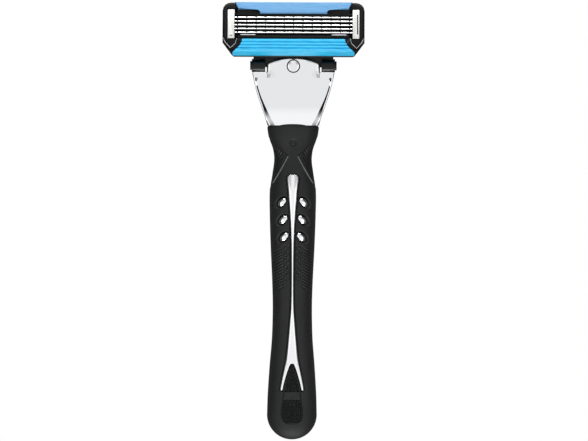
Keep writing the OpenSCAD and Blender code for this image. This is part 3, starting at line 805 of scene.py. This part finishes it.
def panel_relief(x, y):
    """Seat of the side panels."""
    slant = 0.68 if y > PANEL_APEX[1] else 0.88
    return -0.5 * smooth(0.04, 0.16, (x - panel_edge(y)) * slant)


def relief(half, arc, x, y):
    """Height of the grip's skin over its smooth form, all reliefs together."""
    front = arc < half.arc[MIDDLE]
    height = inlay_relief(x, y) * front + panel_relief(x, y)
    height += front * thumb_relief(arc, x, y)
    if -8 < y < 9:
        height = np.where(front, np.minimum(height, stud_relief(x, y)), height)
    if abs(y - RING_Y) < 1.5:
        height += front * ring_relief(x, y)
    return height


def grip_places():
    """Places of the skin's rings along Y, closer where the surface has detail."""
    places = [TAIL_Y + TAIL_R * (1 - math.cos(a)) for a in np.radians(np.linspace(2, 88, 26))]
    spans = [(-52.5, 0.33), (-50.5, 0.2), (-42, 0.28), (-21, 0.42), (-6.5, 0.16), (9, 0.2), (13, 0.25),
             (14.8, 0.15), (25.3, 0.22), (COLLAR_Y - COLLAR_R, 0.35)]
    for end, step in spans:
        start = places[-1]
        count = max(1, round((end - start) / step))
        places += [start + (end - start) * k / count for k in range(1, count + 1)]
    return places + [COLLAR_Y - COLLAR_R * (1 - math.sin(a)) for a in np.radians((20, 40, 60, 75, 88))]


def grip_columns(y, half):
    """Lengths round the right half at which the skin has points; some follow the inlays' edges."""
    width = half.x[MIDDLE]
    if y > LEG_TIP_Y:
        inner, outer = spine_edges(min(y, SPINE_TOP_Y - 0.3))
    else:
        inner, outer = 0.0, pad_half(max(y, PAD_LOW_Y))
    outer = min(outer, 0.5 * width)
    inner = inner if inner > 0.3 * outer else 0.5 * outer
    stops = [0, half.front_arc(inner), half.front_arc(outer), half.front_arc(min(outer + 0.7, 0.8 * width)),
             half.arc[MIDDLE], half.arc[-1]]
    counts = (5, 5, 6, 42, 22)
    parts = [np.linspace(a, b, n, endpoint=False) for a, b, n in zip(stops, stops[1:], counts)]
    return np.concatenate([*parts, [stops[-1]]])


def mirrored_ring(x, y, z):
    """Closed ring from its right half."""
    right = np.stack([x, np.broadcast_to(y, x.shape), z], 1)
    left = right[-2:0:-1] * (-1, 1, 1)
    return np.concatenate([right, left])


def grip_body():
    rings = []
    for y in grip_places():
        half = Section(y)
        arc = grip_columns(y, half)
        x, z, nx, nz = half.at(arc)
        lift = relief(half, arc, x, y)
        rings.append(mirrored_ring(x + nx * lift, y, z + nz * lift))
    piece(tube("grip_skin", rings), "handle", "black_rubber", RUBBER, "grip_body", angle=60)


def grip_ridges():
    """Raised bead along each side panel's lower front edge."""
    beads = []
    for side in (-1, 1):
        line = []
        for t in np.linspace(0.02, 1.0, 34):
            y = PANEL_APEX[1] + (PANEL_FOOT[1] - PANEL_APEX[1]) * t
            line.append(on_grip(side * (panel_edge(y) - 0.1 - 0.15 * math.sin(math.pi * t)), y, 0.06)[0])
        beads.append(bead(f"grip_ridge_{side}", line, 0.2, POLISHED_PAINTED_HIGHLIGHT))
    # The beads' light grey colour is a painted highlight along each ridge.
    piece(join(*beads), "handle", "black_rubber", POLISHED_PAINTED_HIGHLIGHT).name = "grip_ridges"


def side_grips():
    """Soft panels that wrap round the narrow part of the grip, ribbed towards their upper edge."""
    def width_left(y):
        return section(round(y, 3)).x[MIDDLE] - panel_edge(y)

    low = next(y for y in np.arange(PANEL_FOOT[1] - 2, PANEL_APEX[1], 0.02) if width_left(y) > 0.05)
    high = next(y for y in np.arange(PANEL_TOP[1] + 2, PANEL_APEX[1], -0.02) if width_left(y) > 0.05)
    rows = np.concatenate([np.linspace(low, PANEL_APEX[1], 46), np.linspace(PANEL_APEX[1], high, 40)[1:]])
    for side, label in ((1, "right"), (-1, "left")):
        top, bottom = [], []
        for y in rows:
            half = section(round(y, 3))
            edge = panel_edge(y) + 0.1
            arc = np.linspace(half.front_arc(edge), half.back_arc(edge), 110)
            x, z, nx, nz = half.at(arc)
            inside = (np.minimum(arc - arc[0], arc[-1] - arc)) * 0.75
            across = 0.73 * arc + 0.684 * y
            from_top = (PANEL_APEX[1] + (x - PANEL_APEX[0]) * 0.94 - y) * 0.73
            strong = (1 - smooth(1.2, 3.6, from_top)) * smooth(2.6, 4.2, x)
            ribs = 0.5 * (saw(across / 0.95) - 0.8) * strong
            fine = 0.2 * (np.minimum(saw(y / 1.0 + arc / 0.9), saw(y / 1.0 - arc / 0.9)) - 0.4) * (1 - strong)
            lift = -0.16 - 0.16 * (1 - smooth(0, 0.3, inside)) + (ribs + fine) * smooth(0.15, 0.45, inside)
            top.append(np.stack([side * (x + nx * lift), np.full_like(x, y), z + nz * lift], 1))
            bottom.append(np.stack([side * (x - nx), np.full_like(x, y), z - nz], 1))
        piece(slab(f"side_panel_{label}", top, bottom), "handle", "soft_rubber", SOFT, f"side_grip_{label}",
              angle=50)


def strip_between(rows, edges, columns, crown, lift, depth):
    """Grids for a strip let into the grip's front: its crowned top and its hidden foot."""
    top, foot = [], []
    for y in rows:
        inner, outer = edges(y)
        top_row, foot_row = [], []
        for t in np.linspace(-1, 1, columns):
            across = math.sin(t * math.pi / 2)
            x = (inner + outer) / 2 + (outer - inner) / 2 * across
            rise = lift + crown * (1 - across**2) - 0.22 * across**10
            point, normal = on_grip(x, y, 0)
            top_row.append(point + normal * rise)
            foot_row.append(point - normal * depth)
        top.append(top_row)
        foot.append(foot_row)
    return top, foot


def spine():
    """Satin blade-shaped trim down the front, forking into two legs round the tail pad."""
    def ends(low, high, count):
        t = np.linspace(0, math.pi / 2, 8)[1:]
        return np.concatenate([np.linspace(low, high - 1, count), high - 1 + np.sin(t) * 0.999])

    def whole_width(y):
        outer = spine_edges(y)[1]
        return -outer, outer

    body = slab("spine", *strip_between(ends(FORK_Y, SPINE_TOP_Y, 120), whole_width, 15, 0.2, 0.14, 0.45))
    legs = []
    tip = LEG_TIP_Y + 0.4 * (1 - np.cos(np.linspace(0.05, math.pi / 2, 7)))
    rows = np.concatenate([tip, np.linspace(LEG_TIP_Y + 0.45, FORK_Y + 0.3, 40)])
    for side in (-1, 1):
        def edges(y, side=side):
            inner, outer = spine_edges(y)
            return (inner, outer) if side > 0 else (-outer, -inner)
        legs.append(slab(f"leg_{side}", *strip_between(rows, edges, 11, 0.12, 0.14, 0.45)))
    piece(join(body, *legs), "handle", "satin_silver", SATIN, "spine_inlay", angle=50)


def tail_pad():
    """Soft pad with a diamond lattice above and below a smooth band."""
    pitch = 1.15
    end = PAD_LOW_Y + 0.6 * (1 - np.cos(np.linspace(0.3, math.pi / 2, 6)))
    rows = np.concatenate([end, np.arange(PAD_LOW_Y + 0.75, PAD_TOP_Y, 0.13)])
    top, foot = strip_between(rows, lambda y: (-pad_half(y), pad_half(y)), 61, 0.05, -0.02, 0.55)
    for row in top:
        for k, point in enumerate(row):
            x, y = point.x, point.y
            inside = min(pad_half(y) - abs(x), y - PAD_LOW_Y, PAD_TOP_Y - y)
            lattice = max(saw((y + x) / pitch), saw((y - x) / pitch))
            zone = smooth(0.1, 0.5, inside) * (1 - smooth(-54.4, -54.1, y) * smooth(-51.7, -52.0, y))
            row[k] = point + Vector((0, 0, 0.45 * (smooth(0.55, 0.95, lattice) - 1) * zone))
    piece(slab("pad", top, foot), "handle", "soft_rubber", SOFT, "tail_pad", angle=40)


def studs():
    """Six chromed ovals that lean to the spine, each in a bowl whose dark floor is painted shade: a black cup
    set deep under the stud.
    """
    ovals, shade_floors = [], []
    for side in (-1, 1):
        heading = (-side * math.cos(STUD_TURN), math.sin(STUD_TURN), 0)
        for x, y in STUDS:
            ovals.append((*on_grip(side * x, y, -0.2), heading, (1.5, 0.92, 0.5)))
            shade_floors.append((*on_grip(side * (x + 0.45), y - 0.1, -1.08), heading, (1.95, 1.15, 0.12)))
    made = stamped("grip_stud_set", dome("stud", 1.0, rings=10, sides=40), ovals, CHROME)
    piece(tidy(made), "handle", "chromed_zinc", CHROME, "grip_studs")
    # Black cups deep in the bowls stand in for the shade there: painted shade.
    made = stamped("stud_cups", dome("cup", 1.0, rings=4, sides=32), shade_floors, ABS)
    piece(tidy(made), "handle", "black_abs", ABS)


# ---- chromed neck ----

NECK_W = 25
# Place along the neck and half width of flange and panel, all in percent
NECK = [(-8, 60, 41), (0, 63, 45), (15, 69, 57), (29, 76, 66), (43, 83, 75), (56, 89, 82), (70, 94, 87.5),
        (89, 100, 91)]
PLATE_TOP = corners("handle_core")[1][2]
PLATE_LOW = PLATE_TOP - 1.6
COVER_LOW = corners("back_cover")[0][2]
COVER_TOP = COVER_LOW + 1.1
FLANGE_LOW_TOP = HEAD_Z + 1.35
CARRIER_R = 6.6
NECK_RISE = 3.6
SHOULDER_Y = BALL_Y - 2
NOTCH_Y = BALL_Y - 3.5
NOTCH_X = corners("head_carrier")[1][0] - 0.5 - 4.1 - 0.45
DOME_Y = BALL_Y + 2.5
DOME_R = 18.7
EDGE_R = 0.45
WINDOW_R = 2.02


def dome_at(x):
    """Y of the neck's domed edge at x."""
    return DOME_Y - DOME_R + math.sqrt(DOME_R**2 - min(abs(x), NOTCH_X) ** 2)


def facet_width(t):
    """Width of the sloped step between panel and flange."""
    return 0.42 + 0.83 * (1 - smooth(0, 60, t))


def neck_front(y):
    """Height of the panel and of the flange beside it."""
    t = (y - COLLAR_Y) / NECK_LEN * 100
    panel = PLATE_TOP - (NECK_RISE + 0.5) * (1 - smooth(-18, 39, t))
    return panel, panel - (0.54 + 0.17 * smooth(8, 45, t)) * facet_width(t)


def panel_dip(x, y):
    """The panel falls away a little towards its upper corners."""
    return -0.5 * smooth(3.2, 8.4, x) * smooth(40, 46.5, y)


def neck_half_section(y, notched, plate):
    """Right half of the neck's section, from the front's middle to the back's, as x and z."""
    t = (y - COLLAR_Y) / NECK_LEN * 100
    side_x = curve(NECK, t, 1) / 100 * NECK_W / 2
    panel_x = curve(NECK, t, 2) / 100 * NECK_W / 2
    panel_z, flange_z = neck_front(y)
    facet_x = panel_x + facet_width(t)
    edge = min(0.8, side_x - facet_x - 0.15)
    back_z = COVER_LOW - NECK_RISE * (1 - smooth(0, 40, t))
    flat_x = NOTCH_X - EDGE_R
    points = [(x, panel_z) for x in np.linspace(0, min(flat_x, panel_x - 0.5), 10)]
    if notched:
        arcs = np.radians((30, 60, 90))
        points += [(flat_x + EDGE_R * math.sin(a), panel_z - EDGE_R * (1 - math.cos(a))) for a in arcs]
        floor_z = PLATE_LOW if plate else FLANGE_LOW_TOP
        points += [(NOTCH_X, floor_z + 0.02)]
        end_x = NOTCH_X - 0.3 if plate else side_x - 1.2
        points += [(x, floor_z) for x in np.linspace(NOTCH_X + (-0.02 if plate else 0.05), end_x, 6)]
        flange_z = floor_z
    else:
        points += [(x, panel_z) for x in np.linspace(points[-1][0], panel_x - 0.3, 5)[1:]]
        points += [(panel_x - 0.05, panel_z), (panel_x, panel_z - 0.01), (facet_x, flange_z + 0.01),
                   (facet_x + 0.05, flange_z),
                   ((facet_x + side_x - edge) / 2 + 0.02, flange_z - 0.01),
                   (side_x - edge - 0.05, flange_z - 0.02)]
    if plate:
        points += [(x, PLATE_LOW) for x in np.linspace(NOTCH_X - 0.35, 0, 22)]
    else:
        points += [(side_x - edge + edge * math.sin(a), flange_z - edge + edge * math.cos(a))
                   for a in np.radians(np.linspace(0, 90, 8))]
        points += [(side_x, z) for z in np.linspace(flange_z - edge - 0.05, back_z + 1.3, 4)[1:-1]]
        points += [(side_x - 1.2 + 1.2 * math.cos(a), back_z + 1.2 - 1.2 * math.sin(a))
                   for a in np.radians(np.linspace(0, 90, 6))]
        points += [(x, back_z) for x in np.linspace(side_x - 1.2, 0, 7)[1:]]
    x, z = np.array(points).T
    front = z > PLATE_LOW + 0.5
    return x, z + np.where(front & (x < NOTCH_X + 3), panel_dip(x, y), 0)


def neck_ring(y, notched=False, plate=False, reach=None, drop=0.0):
    """One ring of the neck. On the plate, reach takes it from the shoulder to the dome's edge."""
    x, z = neck_half_section(y, notched, plate)
    places = np.full_like(x, y)
    if reach is not None:
        share, back = reach
        places = np.array([SHOULDER_Y + share * (dome_at(v) - SHOULDER_Y) - back for v in x])
        x, z = neck_half_section(SHOULDER_Y, notched, plate)
        z = np.array([v + panel_dip(a, b) - panel_dip(a, SHOULDER_Y) if v > PLATE_LOW + 0.1 else v
                      for a, b, v in zip(x, places, z)])
        z = np.where(z > PLATE_LOW + 0.5, z - drop, z)
    return mirrored_ring(x, places, z)


def shoulder_ring():
    """Foot of the plate: the notched section pulled in to the notch's walls, so the shoulder ends flat."""
    x, z = neck_half_section(SHOULDER_Y, notched=True, plate=False)
    return mirrored_ring(np.minimum(x, NOTCH_X - 0.02), np.full_like(x, SHOULDER_Y + 0.01), z)


def handle_core():
    """Chromed die casting, hollowed for the carrier, the slide and the back cover."""
    rings = [neck_ring(y) for y in np.linspace(COLLAR_Y - 0.12, NOTCH_Y, 44)]
    rings += [neck_ring(NOTCH_Y + step, notched=True) for step in (0.02, 0.4, 0.8, 1.2)]
    rings.append(neck_ring(SHOULDER_Y, notched=True))
    rings.append(shoulder_ring())
    rings += [neck_ring(SHOULDER_Y, True, True, reach=(share, 0)) for share in (0.02, 0.2, 0.4, 0.6, 0.8)]
    for a in np.radians((0, 25, 50, 70, 90)):
        rings.append(neck_ring(SHOULDER_Y, True, True, reach=(1, EDGE_R * (1 - math.sin(a))),
                               drop=EDGE_R * (1 - math.cos(a))))
    neck = tube("neck_casting", rings)
    centre = (0, BALL_Y)
    pocket_r = CARRIER_R + 0.3
    slide = corners("ejector_slide")
    cover_half = corners("back_cover")[1][0] + 0.03
    cutters = [
        turned("pocket", centre, [(pocket_r, COVER_TOP - 0.5), (pocket_r, PLATE_LOW), (WINDOW_R, PLATE_LOW),
                                  (WINDOW_R, PLATE_TOP - 0.05), (WINDOW_R + 0.08, PLATE_TOP + 0.05),
                                  (WINDOW_R + 0.08, PLATE_TOP + 1)], 96),
        block("channel", (slide[0][0] - 0.2, slide[0][1] - 0.3, COVER_TOP - 0.5),
              (slide[1][0] + 0.2, BALL_Y, slide[0][2] + 1.1)),
        block("spring_bed", (-1.3, slide[0][1] - 0.3, COVER_TOP - 0.5),
              (1.3, BALL_Y - 7.7, slide[0][2] + 2.9)),
        block("seat", (-cover_half, corners("back_cover")[0][1] - 0.03, -1),
              (cover_half, SHOULDER_Y + 9, COVER_TOP)),
    ]
    cut(neck, *cutters)
    piece(tidy(neck, 0.0005), "handle", "chromed_zinc", CHROME, "handle_core", angle=18)


def pivot_ball():
    """Chromed ball showing through the window."""
    r = 1.76
    crown = 8.0
    rim_z = PLATE_TOP + 0.12
    rise = crown - math.sqrt(crown**2 - r**2)
    profile = [(1.2, PLATE_LOW - 0.7), (1.2, PLATE_LOW + 0.1), (r - 0.15, PLATE_LOW + 0.1),
               (r, PLATE_LOW + 0.4), (r, rim_z - 0.12), (r - 0.04, rim_z - 0.03)]
    for share in np.linspace(0.96, 0.03, 12):
        profile.append((r * share, rim_z + rise + math.sqrt(crown**2 - (r * share) ** 2) - crown))
    piece(turned("rocking_ball", (0, BALL_Y), profile, 72), "head", "chromed_zinc", CHROME, "pivot_ball")


# ---- mechanism ----

def coil(name, node, body, turns, wire):
    """Coil spring in the place of its CAD node."""
    low, high = corners(node)
    radius = (high[0] - low[0]) / 2 - wire
    place = Vector((0, low[1] + wire, (low[2] + high[2]) / 2)) * MM
    made = grown(new_object(name, [(0, 0, 0)], []), COIL, Turns=turns, Radius=radius * MM, Wire=wire * MM,
                 Length=(high[1] - low[1] - 2 * wire) * MM, Place=place, Finish=SPRING)
    piece(made, body, "spring_steel", SPRING, node)
    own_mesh(made)


def yoke_web():
    """Web between the two ears, just under the neck's domed edge."""
    reach = corners("head_carrier")[1][0] - 1.0
    front_y = DOME_Y + 0.5
    top_z = PLATE_LOW - 0.28
    rings = []
    for x in np.linspace(-reach, reach, 41):
        back_y = min(front_y - 0.5, DOME_Y - DOME_R + math.sqrt(DOME_R**2 - x * x) - 0.1)
        rings.append([(x, front_y - 0.15, top_z), (x, front_y, top_z - 0.15), (x, front_y, top_z - 0.6),
                      (x, back_y, top_z - 0.6), (x, back_y, top_z - 0.1), (x, back_y + 0.1, top_z)])
    return tube("web", rings)


def mechanism():
    """Moulded parts of the head and the release, with their small edge radii."""
    carrier = join(refined("rocking_carrier", "head_carrier", 0.16, 3), yoke_web())
    piece(carrier, "head", "black_acetal", ACETAL, "head_carrier")
    piece(refined("dock_connector", "connector", 0.1), "connector", "black_acetal", ACETAL, "connector")
    piece(refined("slide_plate", "ejector_slide", 0.08), "button", "black_acetal", ACETAL, "ejector_slide")
    piece(refined("neck_cover", "back_cover", 0.2, 3), "handle", "black_abs", ABS, "back_cover")
    piece(refined("release_pad", "release_button", 0.2, 3), "button", "black_abs", ABS, "release_button")
    piece(refined("return_plunger", "plunger", 0.12, 3), "plunger", "spring_steel", SPRING, "plunger")
    piece(refined("leaf_spring", "centring_spring", 0.04), "handle", "spring_steel", SPRING,
          "centring_spring")
    coil("return_coil", "plunger_spring", "head", 6, 0.13)
    coil("release_coil", "ejector_spring", "handle", 7, 0.15)


# ---- cartridge ----

FACE_NORMAL = on_face((0, 0, 1)) - on_face((0, 0, 0))


def cartridge_housing():
    """Moulded frame with soft outer edges, and a raised V on each end cap."""
    def face_height(co):
        return (co.y / MM - PIVOT_Y) * math.sin(TILT) + (co.z / MM - PIVOT_Z) * math.cos(TILT)

    def outer_edge(edge):
        if not all(face_height(v.co) > FACE_N - 0.02 for v in edge.verts) or len(edge.link_faces) != 2:
            return False
        middle = (edge.verts[0].co + edge.verts[1].co) / 2
        side = min(edge.link_faces, key=lambda f: f.normal.z)
        outward = Vector((middle.x, middle.y - (PIVOT_Y + 3) * MM, 0))
        return side.normal.dot(outward) > 0.3 * outward.length and abs(middle.x) > (BAY_HALF + 0.01) * MM

    body = refined("cartridge_frame", "cartridge_housing", 0.07, 2, 32, outer_edge, 0.8)
    ridges = []
    for side in (-1, 1):
        line = [(side * x, u, FACE_N - 0.02) for x, u in
                ((21.2, GUARD_TOP_U + 0.1), (20.7, GUARD_TOP_U - 1.2), (19.1, GUARD_TOP_U - 3.1),
                 (17.6, GUARD_TOP_U - 1.6), (17.2, GUARD_TOP_U + 0.1))]
        # The V ridges are satin chrome so that they read as light lines: a painted highlight on the black caps'
        # ridges.
        ridges.append(bead(f"cap_ridge_{side}", on_face(line), 0.13, SATIN))
    piece(body, "cartridge", "housing_plastic", HOUSING, "cartridge_housing")
    piece(join(*ridges), "cartridge", "satin_silver", SATIN).name = "cap_ridges"


def lube_strip():
    """Strip above the blades, stepped down in the middle."""
    half, step = BAY_HALF - 0.04, 0.57 * BAY_HALF
    low, mid = face_box("lube_strip")[0][1] + 0.02, TOP_U - 2.3
    outline = [(half, TOP_U), (half - 1.05, mid), (step + 0.3, mid), (step, low), (-step, low),
               (-step - 0.3, mid), (1.05 - half, mid), (-half, TOP_U)]
    strip = prism("soap_strip", outline, FACE_N - 1.5, FACE_N + 0.14, 0.3, 4)
    piece(strip, "cartridge", "lubricating_strip", LUBE, "lube_strip")


def guard():
    """Ribbed elastomer guard with flared ends; it wraps down over the housing's lower edge."""
    # Drop below the guard's top edge, and half width against the bay's half width
    ends = [(0, -2.2), (0.5, -2.15), (1.1, -1.95), (2.3, -1.3), (3.4, -0.3), (4.15, 0.65)]
    height = GUARD_TOP_U - LOW_U
    grooves = [0.32 + 0.97 * i - 0.15 for i in (1, 2, 3)]
    section_line = []
    for drop in np.linspace(0, height, 62):
        rise = 0.12
        for groove in grooves:
            rise -= 0.42 * math.exp(-((drop - groove) / 0.15) ** 2)
        rise -= 0.35 * (1 - smooth(0, 0.3, drop)) + 0.5 * smooth(height - 0.5, height, drop)
        section_line.append((drop, FACE_N + rise))
    wrap_n = face_box("guard_rubber")[0][2]
    section_line += [(height, wrap_n + 0.3), (height - 0.1, wrap_n), (height - 0.9, wrap_n),
                     (height - 0.9, FACE_N - 1.4), (0, FACE_N - 1.4)]
    tips = np.array([0.98, 0.99, 0.996, 1])
    shares = np.concatenate([-tips[::-1], np.linspace(-0.96, 0.96, 41), tips])
    rings = []
    for share in shares:
        sink = 0.3 * (1 - math.sqrt(max(0, 1 - (max(0, abs(share) - 0.98) / 0.02) ** 2)))
        rings.append(on_face([(share * (BAY_HALF + curve(ends, drop)), GUARD_TOP_U - drop,
                               n - (sink if n > FACE_N - 0.6 else 0)) for drop, n in section_line]))
    base = tube("guard", rings)
    places = []
    for row, drop in enumerate((3.36, 3.62)):
        reach = BAY_HALF + curve(ends, drop) - 1.0
        count = int(reach / 0.3)
        for i in range(-count, count + 1):
            if (i + row) % 2 == 0:
                point = on_face((i * 0.3, GUARD_TOP_U - drop, FACE_N + 0.1))
                places.append((point, FACE_NORMAL, (1, 0, 0), (0.15, 0.12, 0.1)))
    dots = stamped("guard_dots", dome("dot", 1.0, rings=2, sides=8), places, GUARD)
    piece(join(base, dots), "cartridge", "guard_elastomer", GUARD, "guard_rubber", angle=60)


def comb():
    """Bar between guard and blades, with a row of small teeth."""
    half = BAY_HALF - 0.9
    low_u = GUARD_TOP_U + 0.03
    outline = [(half, COMB_TOP_U), (half, low_u), (-half, low_u), (-half, COMB_TOP_U)]
    base = prism("comb", outline, FLOOR_N, FACE_N - 0.32, 0.15, 2)
    pitch = 0.9
    count = int((half - 0.5) / pitch)
    row_u = (GUARD_TOP_U + COMB_TOP_U) / 2 - 0.1
    places = [(on_face((i * pitch, row_u, FACE_N - 0.35)), FACE_NORMAL, (1, 0, 0), (0.3, 0.4, 0.42))
              for i in range(-count, count + 1)]
    teeth = stamped("comb_teeth", dome("tooth", 1.0, rings=3, sides=12), places, HOUSING)
    piece(join(base, teeth), "cartridge", "housing_plastic", HOUSING, "comb_bar")


def lofted(name, stations, body, slot, finish, node):
    """Bar along X whose profile in u and n is given at each station."""
    rings = [on_face([(x, u, n) for u, n in profile]) for x, profile in stations]
    return piece(tube(name, rings), body, slot, finish, node)


def blades():
    """Five ground strips, each with shallow rinse notches behind its edge."""
    pitch_x = 2.83
    notch = 0.22
    tall, slope = 1.9, 0.364
    for i in range(1, 6):
        low, high = face_box(f"blade_{i}")
        edge_u, rear_u = low[1], high[1]
        half = high[0]
        crest_u = rear_u - 0.46
        depth = FACE_N - tall
        lean = slope * tall
        profile = [(edge_u, FACE_N + 0.12), (edge_u + 0.14, FACE_N + 0.12), (crest_u, FACE_N - 0.04),
                   (crest_u + 0.02, FACE_N - 0.12), (crest_u + lean - 0.1, depth),
                   (crest_u + lean - 0.1, FLOOR_N), (crest_u + lean - 0.3, FLOOR_N),
                   (crest_u + lean - 0.3, depth), (edge_u + 0.2, FACE_N - 0.06)]
        cut_profile = list(profile)
        cut_profile[2] = (crest_u - 0.17, FACE_N + 0.02)
        cut_profile[3] = (crest_u - 0.12, FACE_N - 0.3)
        stations = [(-half, profile)]
        for k in range(-6, 7):
            x = k * pitch_x
            if abs(x) < half - 0.4:
                stations += [(x - notch - 0.02, profile), (x - notch, cut_profile), (x + notch, cut_profile),
                             (x + notch + 0.02, profile)]
        stations.append((half, profile))
        lofted(f"cutting_strip_{i}", stations, "cartridge", "blade_steel", BLADE, f"blade_{i}")


def guard_bar():
    """Steel bar in front of the first blade; only its two ends come up to the face."""
    low, high = face_box("guard_bar")
    bright = (0.65 * BAY_HALF, 0.9 * BAY_HALF)

    def profile(top):
        return [(low[1] - 0.1, top - 0.12), (low[1] + 0.05, top), (high[1], top - 0.1), (high[1], FLOOR_N),
                (low[1], FLOOR_N)]

    proud, sunk = profile(FACE_N + 0.1), profile(FACE_N - 0.9)
    right = [(bright[0] - 0.1, sunk), (bright[0], proud), (bright[1], proud), (bright[1] + 0.1, sunk),
             (high[0], sunk)]
    stations = [(-x, p) for x, p in right[::-1]] + right
    lofted("guard_wire", stations, "cartridge", "blade_steel", BLADE, "guard_bar")


def clips():
    """Aluminium straps that hold the blades: a long slot in the right one, a short one across the left."""
    left = refined("strap_left", "clip_left", 0.09, 3)
    right = refined("strap_right", "clip_right", 0.09, 3)
    low, high = face_box("clip_right")
    slot_x = high[0] - 0.72
    slot = [(slot_x, high[1] - 1.6), (slot_x + 0.36, high[1] - 1.6), (slot_x + 0.36, low[1] + 1.3),
            (slot_x, low[1] + 1.3)]
    cut(right, prism("slot", slot, FACE_N - 1, FACE_N + 1))
    window_x = (face_box("clip_left")[0][0] + face_box("clip_left")[1][0]) / 2
    window_u = low[1] + 0.9
    window = [(window_x + x, window_u + u)
              for x, u in ((-0.45, 0.12), (-0.45, -0.12), (0.45, -0.12), (0.45, 0.12))]
    cut(left, prism("window", window, FACE_N - 1, FACE_N + 1))
    piece(left, "cartridge", "clip_aluminium", ALUMINIUM, "clip_left")
    piece(right, "cartridge", "clip_aluminium", ALUMINIUM, "clip_right")


# ---- studio ----

def world():
    """Bright dome with a dark band low on both sides, which draws the chrome's dark outlines."""
    made = bpy.data.worlds.new("studio")
    scene.world = made
    made.use_nodes = True
    tree = made.node_tree
    tree.nodes.clear()

    def ramp(value, low, high, first=0.0, last=1.0):
        return add(tree, "ShaderNodeMapRange",
                   {"Value": value, "From Min": low, "From Max": high, "To Min": first, "To Max": last},
                   interpolation_type="SMOOTHSTEP").outputs["Result"]

    def product(first, second):
        return add(tree, "ShaderNodeMath", {0: first, 1: second}, operation="MULTIPLY").outputs[0]

    direction = add(tree, "ShaderNodeTexCoord").outputs["Generated"]
    split = add(tree, "ShaderNodeSeparateXYZ", {"Vector": direction}).outputs
    side = add(tree, "ShaderNodeMath", {0: split["X"]}, operation="ABSOLUTE").outputs[0]
    # Grey overhead and towards the tail, brighter to the sides and low down
    aside = product(ramp(split["Z"], 0.985, 0.9), ramp(side, 0.1, 0.3))
    level = ramp(aside, 0, 1, 0.93, 1.2)
    level = product(level, ramp(split["Z"], 0.9, 0.45, 1.0, 1.15))
    # A little darker above the two head corners
    shadow = product(ramp(split["Y"], 0.03, 0.25), ramp(split["Y"], 0.75, 0.5))
    shadow = product(shadow, ramp(side, 0.1, 0.28))
    level = product(level, ramp(shadow, 0, 1, 1.0, 0.45))
    # Dark low on both sides
    dark = product(ramp(side, 0.25, 0.55), ramp(split["Z"], 0.62, 0.5))
    level = product(level, ramp(dark, 0, 1, 1.0, 0.01))
    seen = add(tree, "ShaderNodeLightPath").outputs["Is Camera Ray"]
    strength = add(tree, "ShaderNodeMix", {0: seen, 2: level, 3: 1.0}).outputs[0]
    shade_of = add(tree, "ShaderNodeBackground", {"Color": (1, 1, 1, 1), "Strength": strength})
    add(tree, "ShaderNodeOutputWorld", {"Surface": shade_of.outputs["Background"]})


def floor():
    """White paper to the camera; greyer to everything else, so that dark edges stay dark."""
    size = 6000
    obj = new_object("studio_floor", [(-size, -size, 0), (size, -size, 0), (size, size, 0), (-size, size, 0)],
                     [(0, 1, 2, 3)])
    made, tree, shader = new_finish("white_paper", "#808080", Roughness=0.9)
    glow = add(tree, "ShaderNodeEmission", {"Color": (1, 1, 1, 1), "Strength": 1.0})
    seen = add(tree, "ShaderNodeLightPath").outputs["Is Camera Ray"]
    mixed = add(tree, "ShaderNodeMixShader",
                {0: seen, 1: shader.outputs["BSDF"], 2: glow.outputs["Emission"]})
    tree.links.new(mixed.outputs["Shader"], tree.nodes["Material Output"].inputs["Surface"])
    obj.data.materials.append(made)


def area_light(name, place, target, size, power):
    data = bpy.data.lights.new(name, "AREA")
    data.shape = "RECTANGLE"
    data.size, data.size_y = size
    data.energy = power
    obj = bpy.data.objects.new(name, data)
    obj.location = place
    obj.rotation_mode = "QUATERNION"
    obj.rotation_quaternion = (Vector(target) - Vector(place)).to_track_quat("-Z", "Y")
    scene.collection.objects.link(obj)


def studio():
    world()
    floor()
    area_light("head_softbox", (0, 0.75, 0.14), (0, 0.06, 0.015), (0.9, 0.2), 6)
    area_light("tail_softbox", (0, -0.8, 0.2), (0, -0.03, 0.01), (0.4, 0.2), 3)


def camera():
    """Long lens straight above the razor."""
    lens = 800
    view_width = 178.3  # millimetres across the view at the height of the handle's middle
    middle_z = 10
    data = bpy.data.cameras.new("camera")
    data.lens = lens
    data.sensor_width = 36
    obj = bpy.data.objects.new("camera", data)
    obj.location = Vector((0.39, 0.15, middle_z + view_width * lens / 36)) * MM
    obj.rotation_euler = (0, 0, math.radians(0.25))
    scene.collection.objects.link(obj)
    scene.camera = obj
    data.clip_start, data.clip_end = 0.05, 20
    scene.view_settings.view_transform = "Standard"


camera()
studio()
grip_body()
grip_ridges()
side_grips()
spine()
tail_pad()
studs()
handle_core()
pivot_ball()
mechanism()
cartridge_housing()
lube_strip()
guard()
comb()
blades()
guard_bar()
clips()
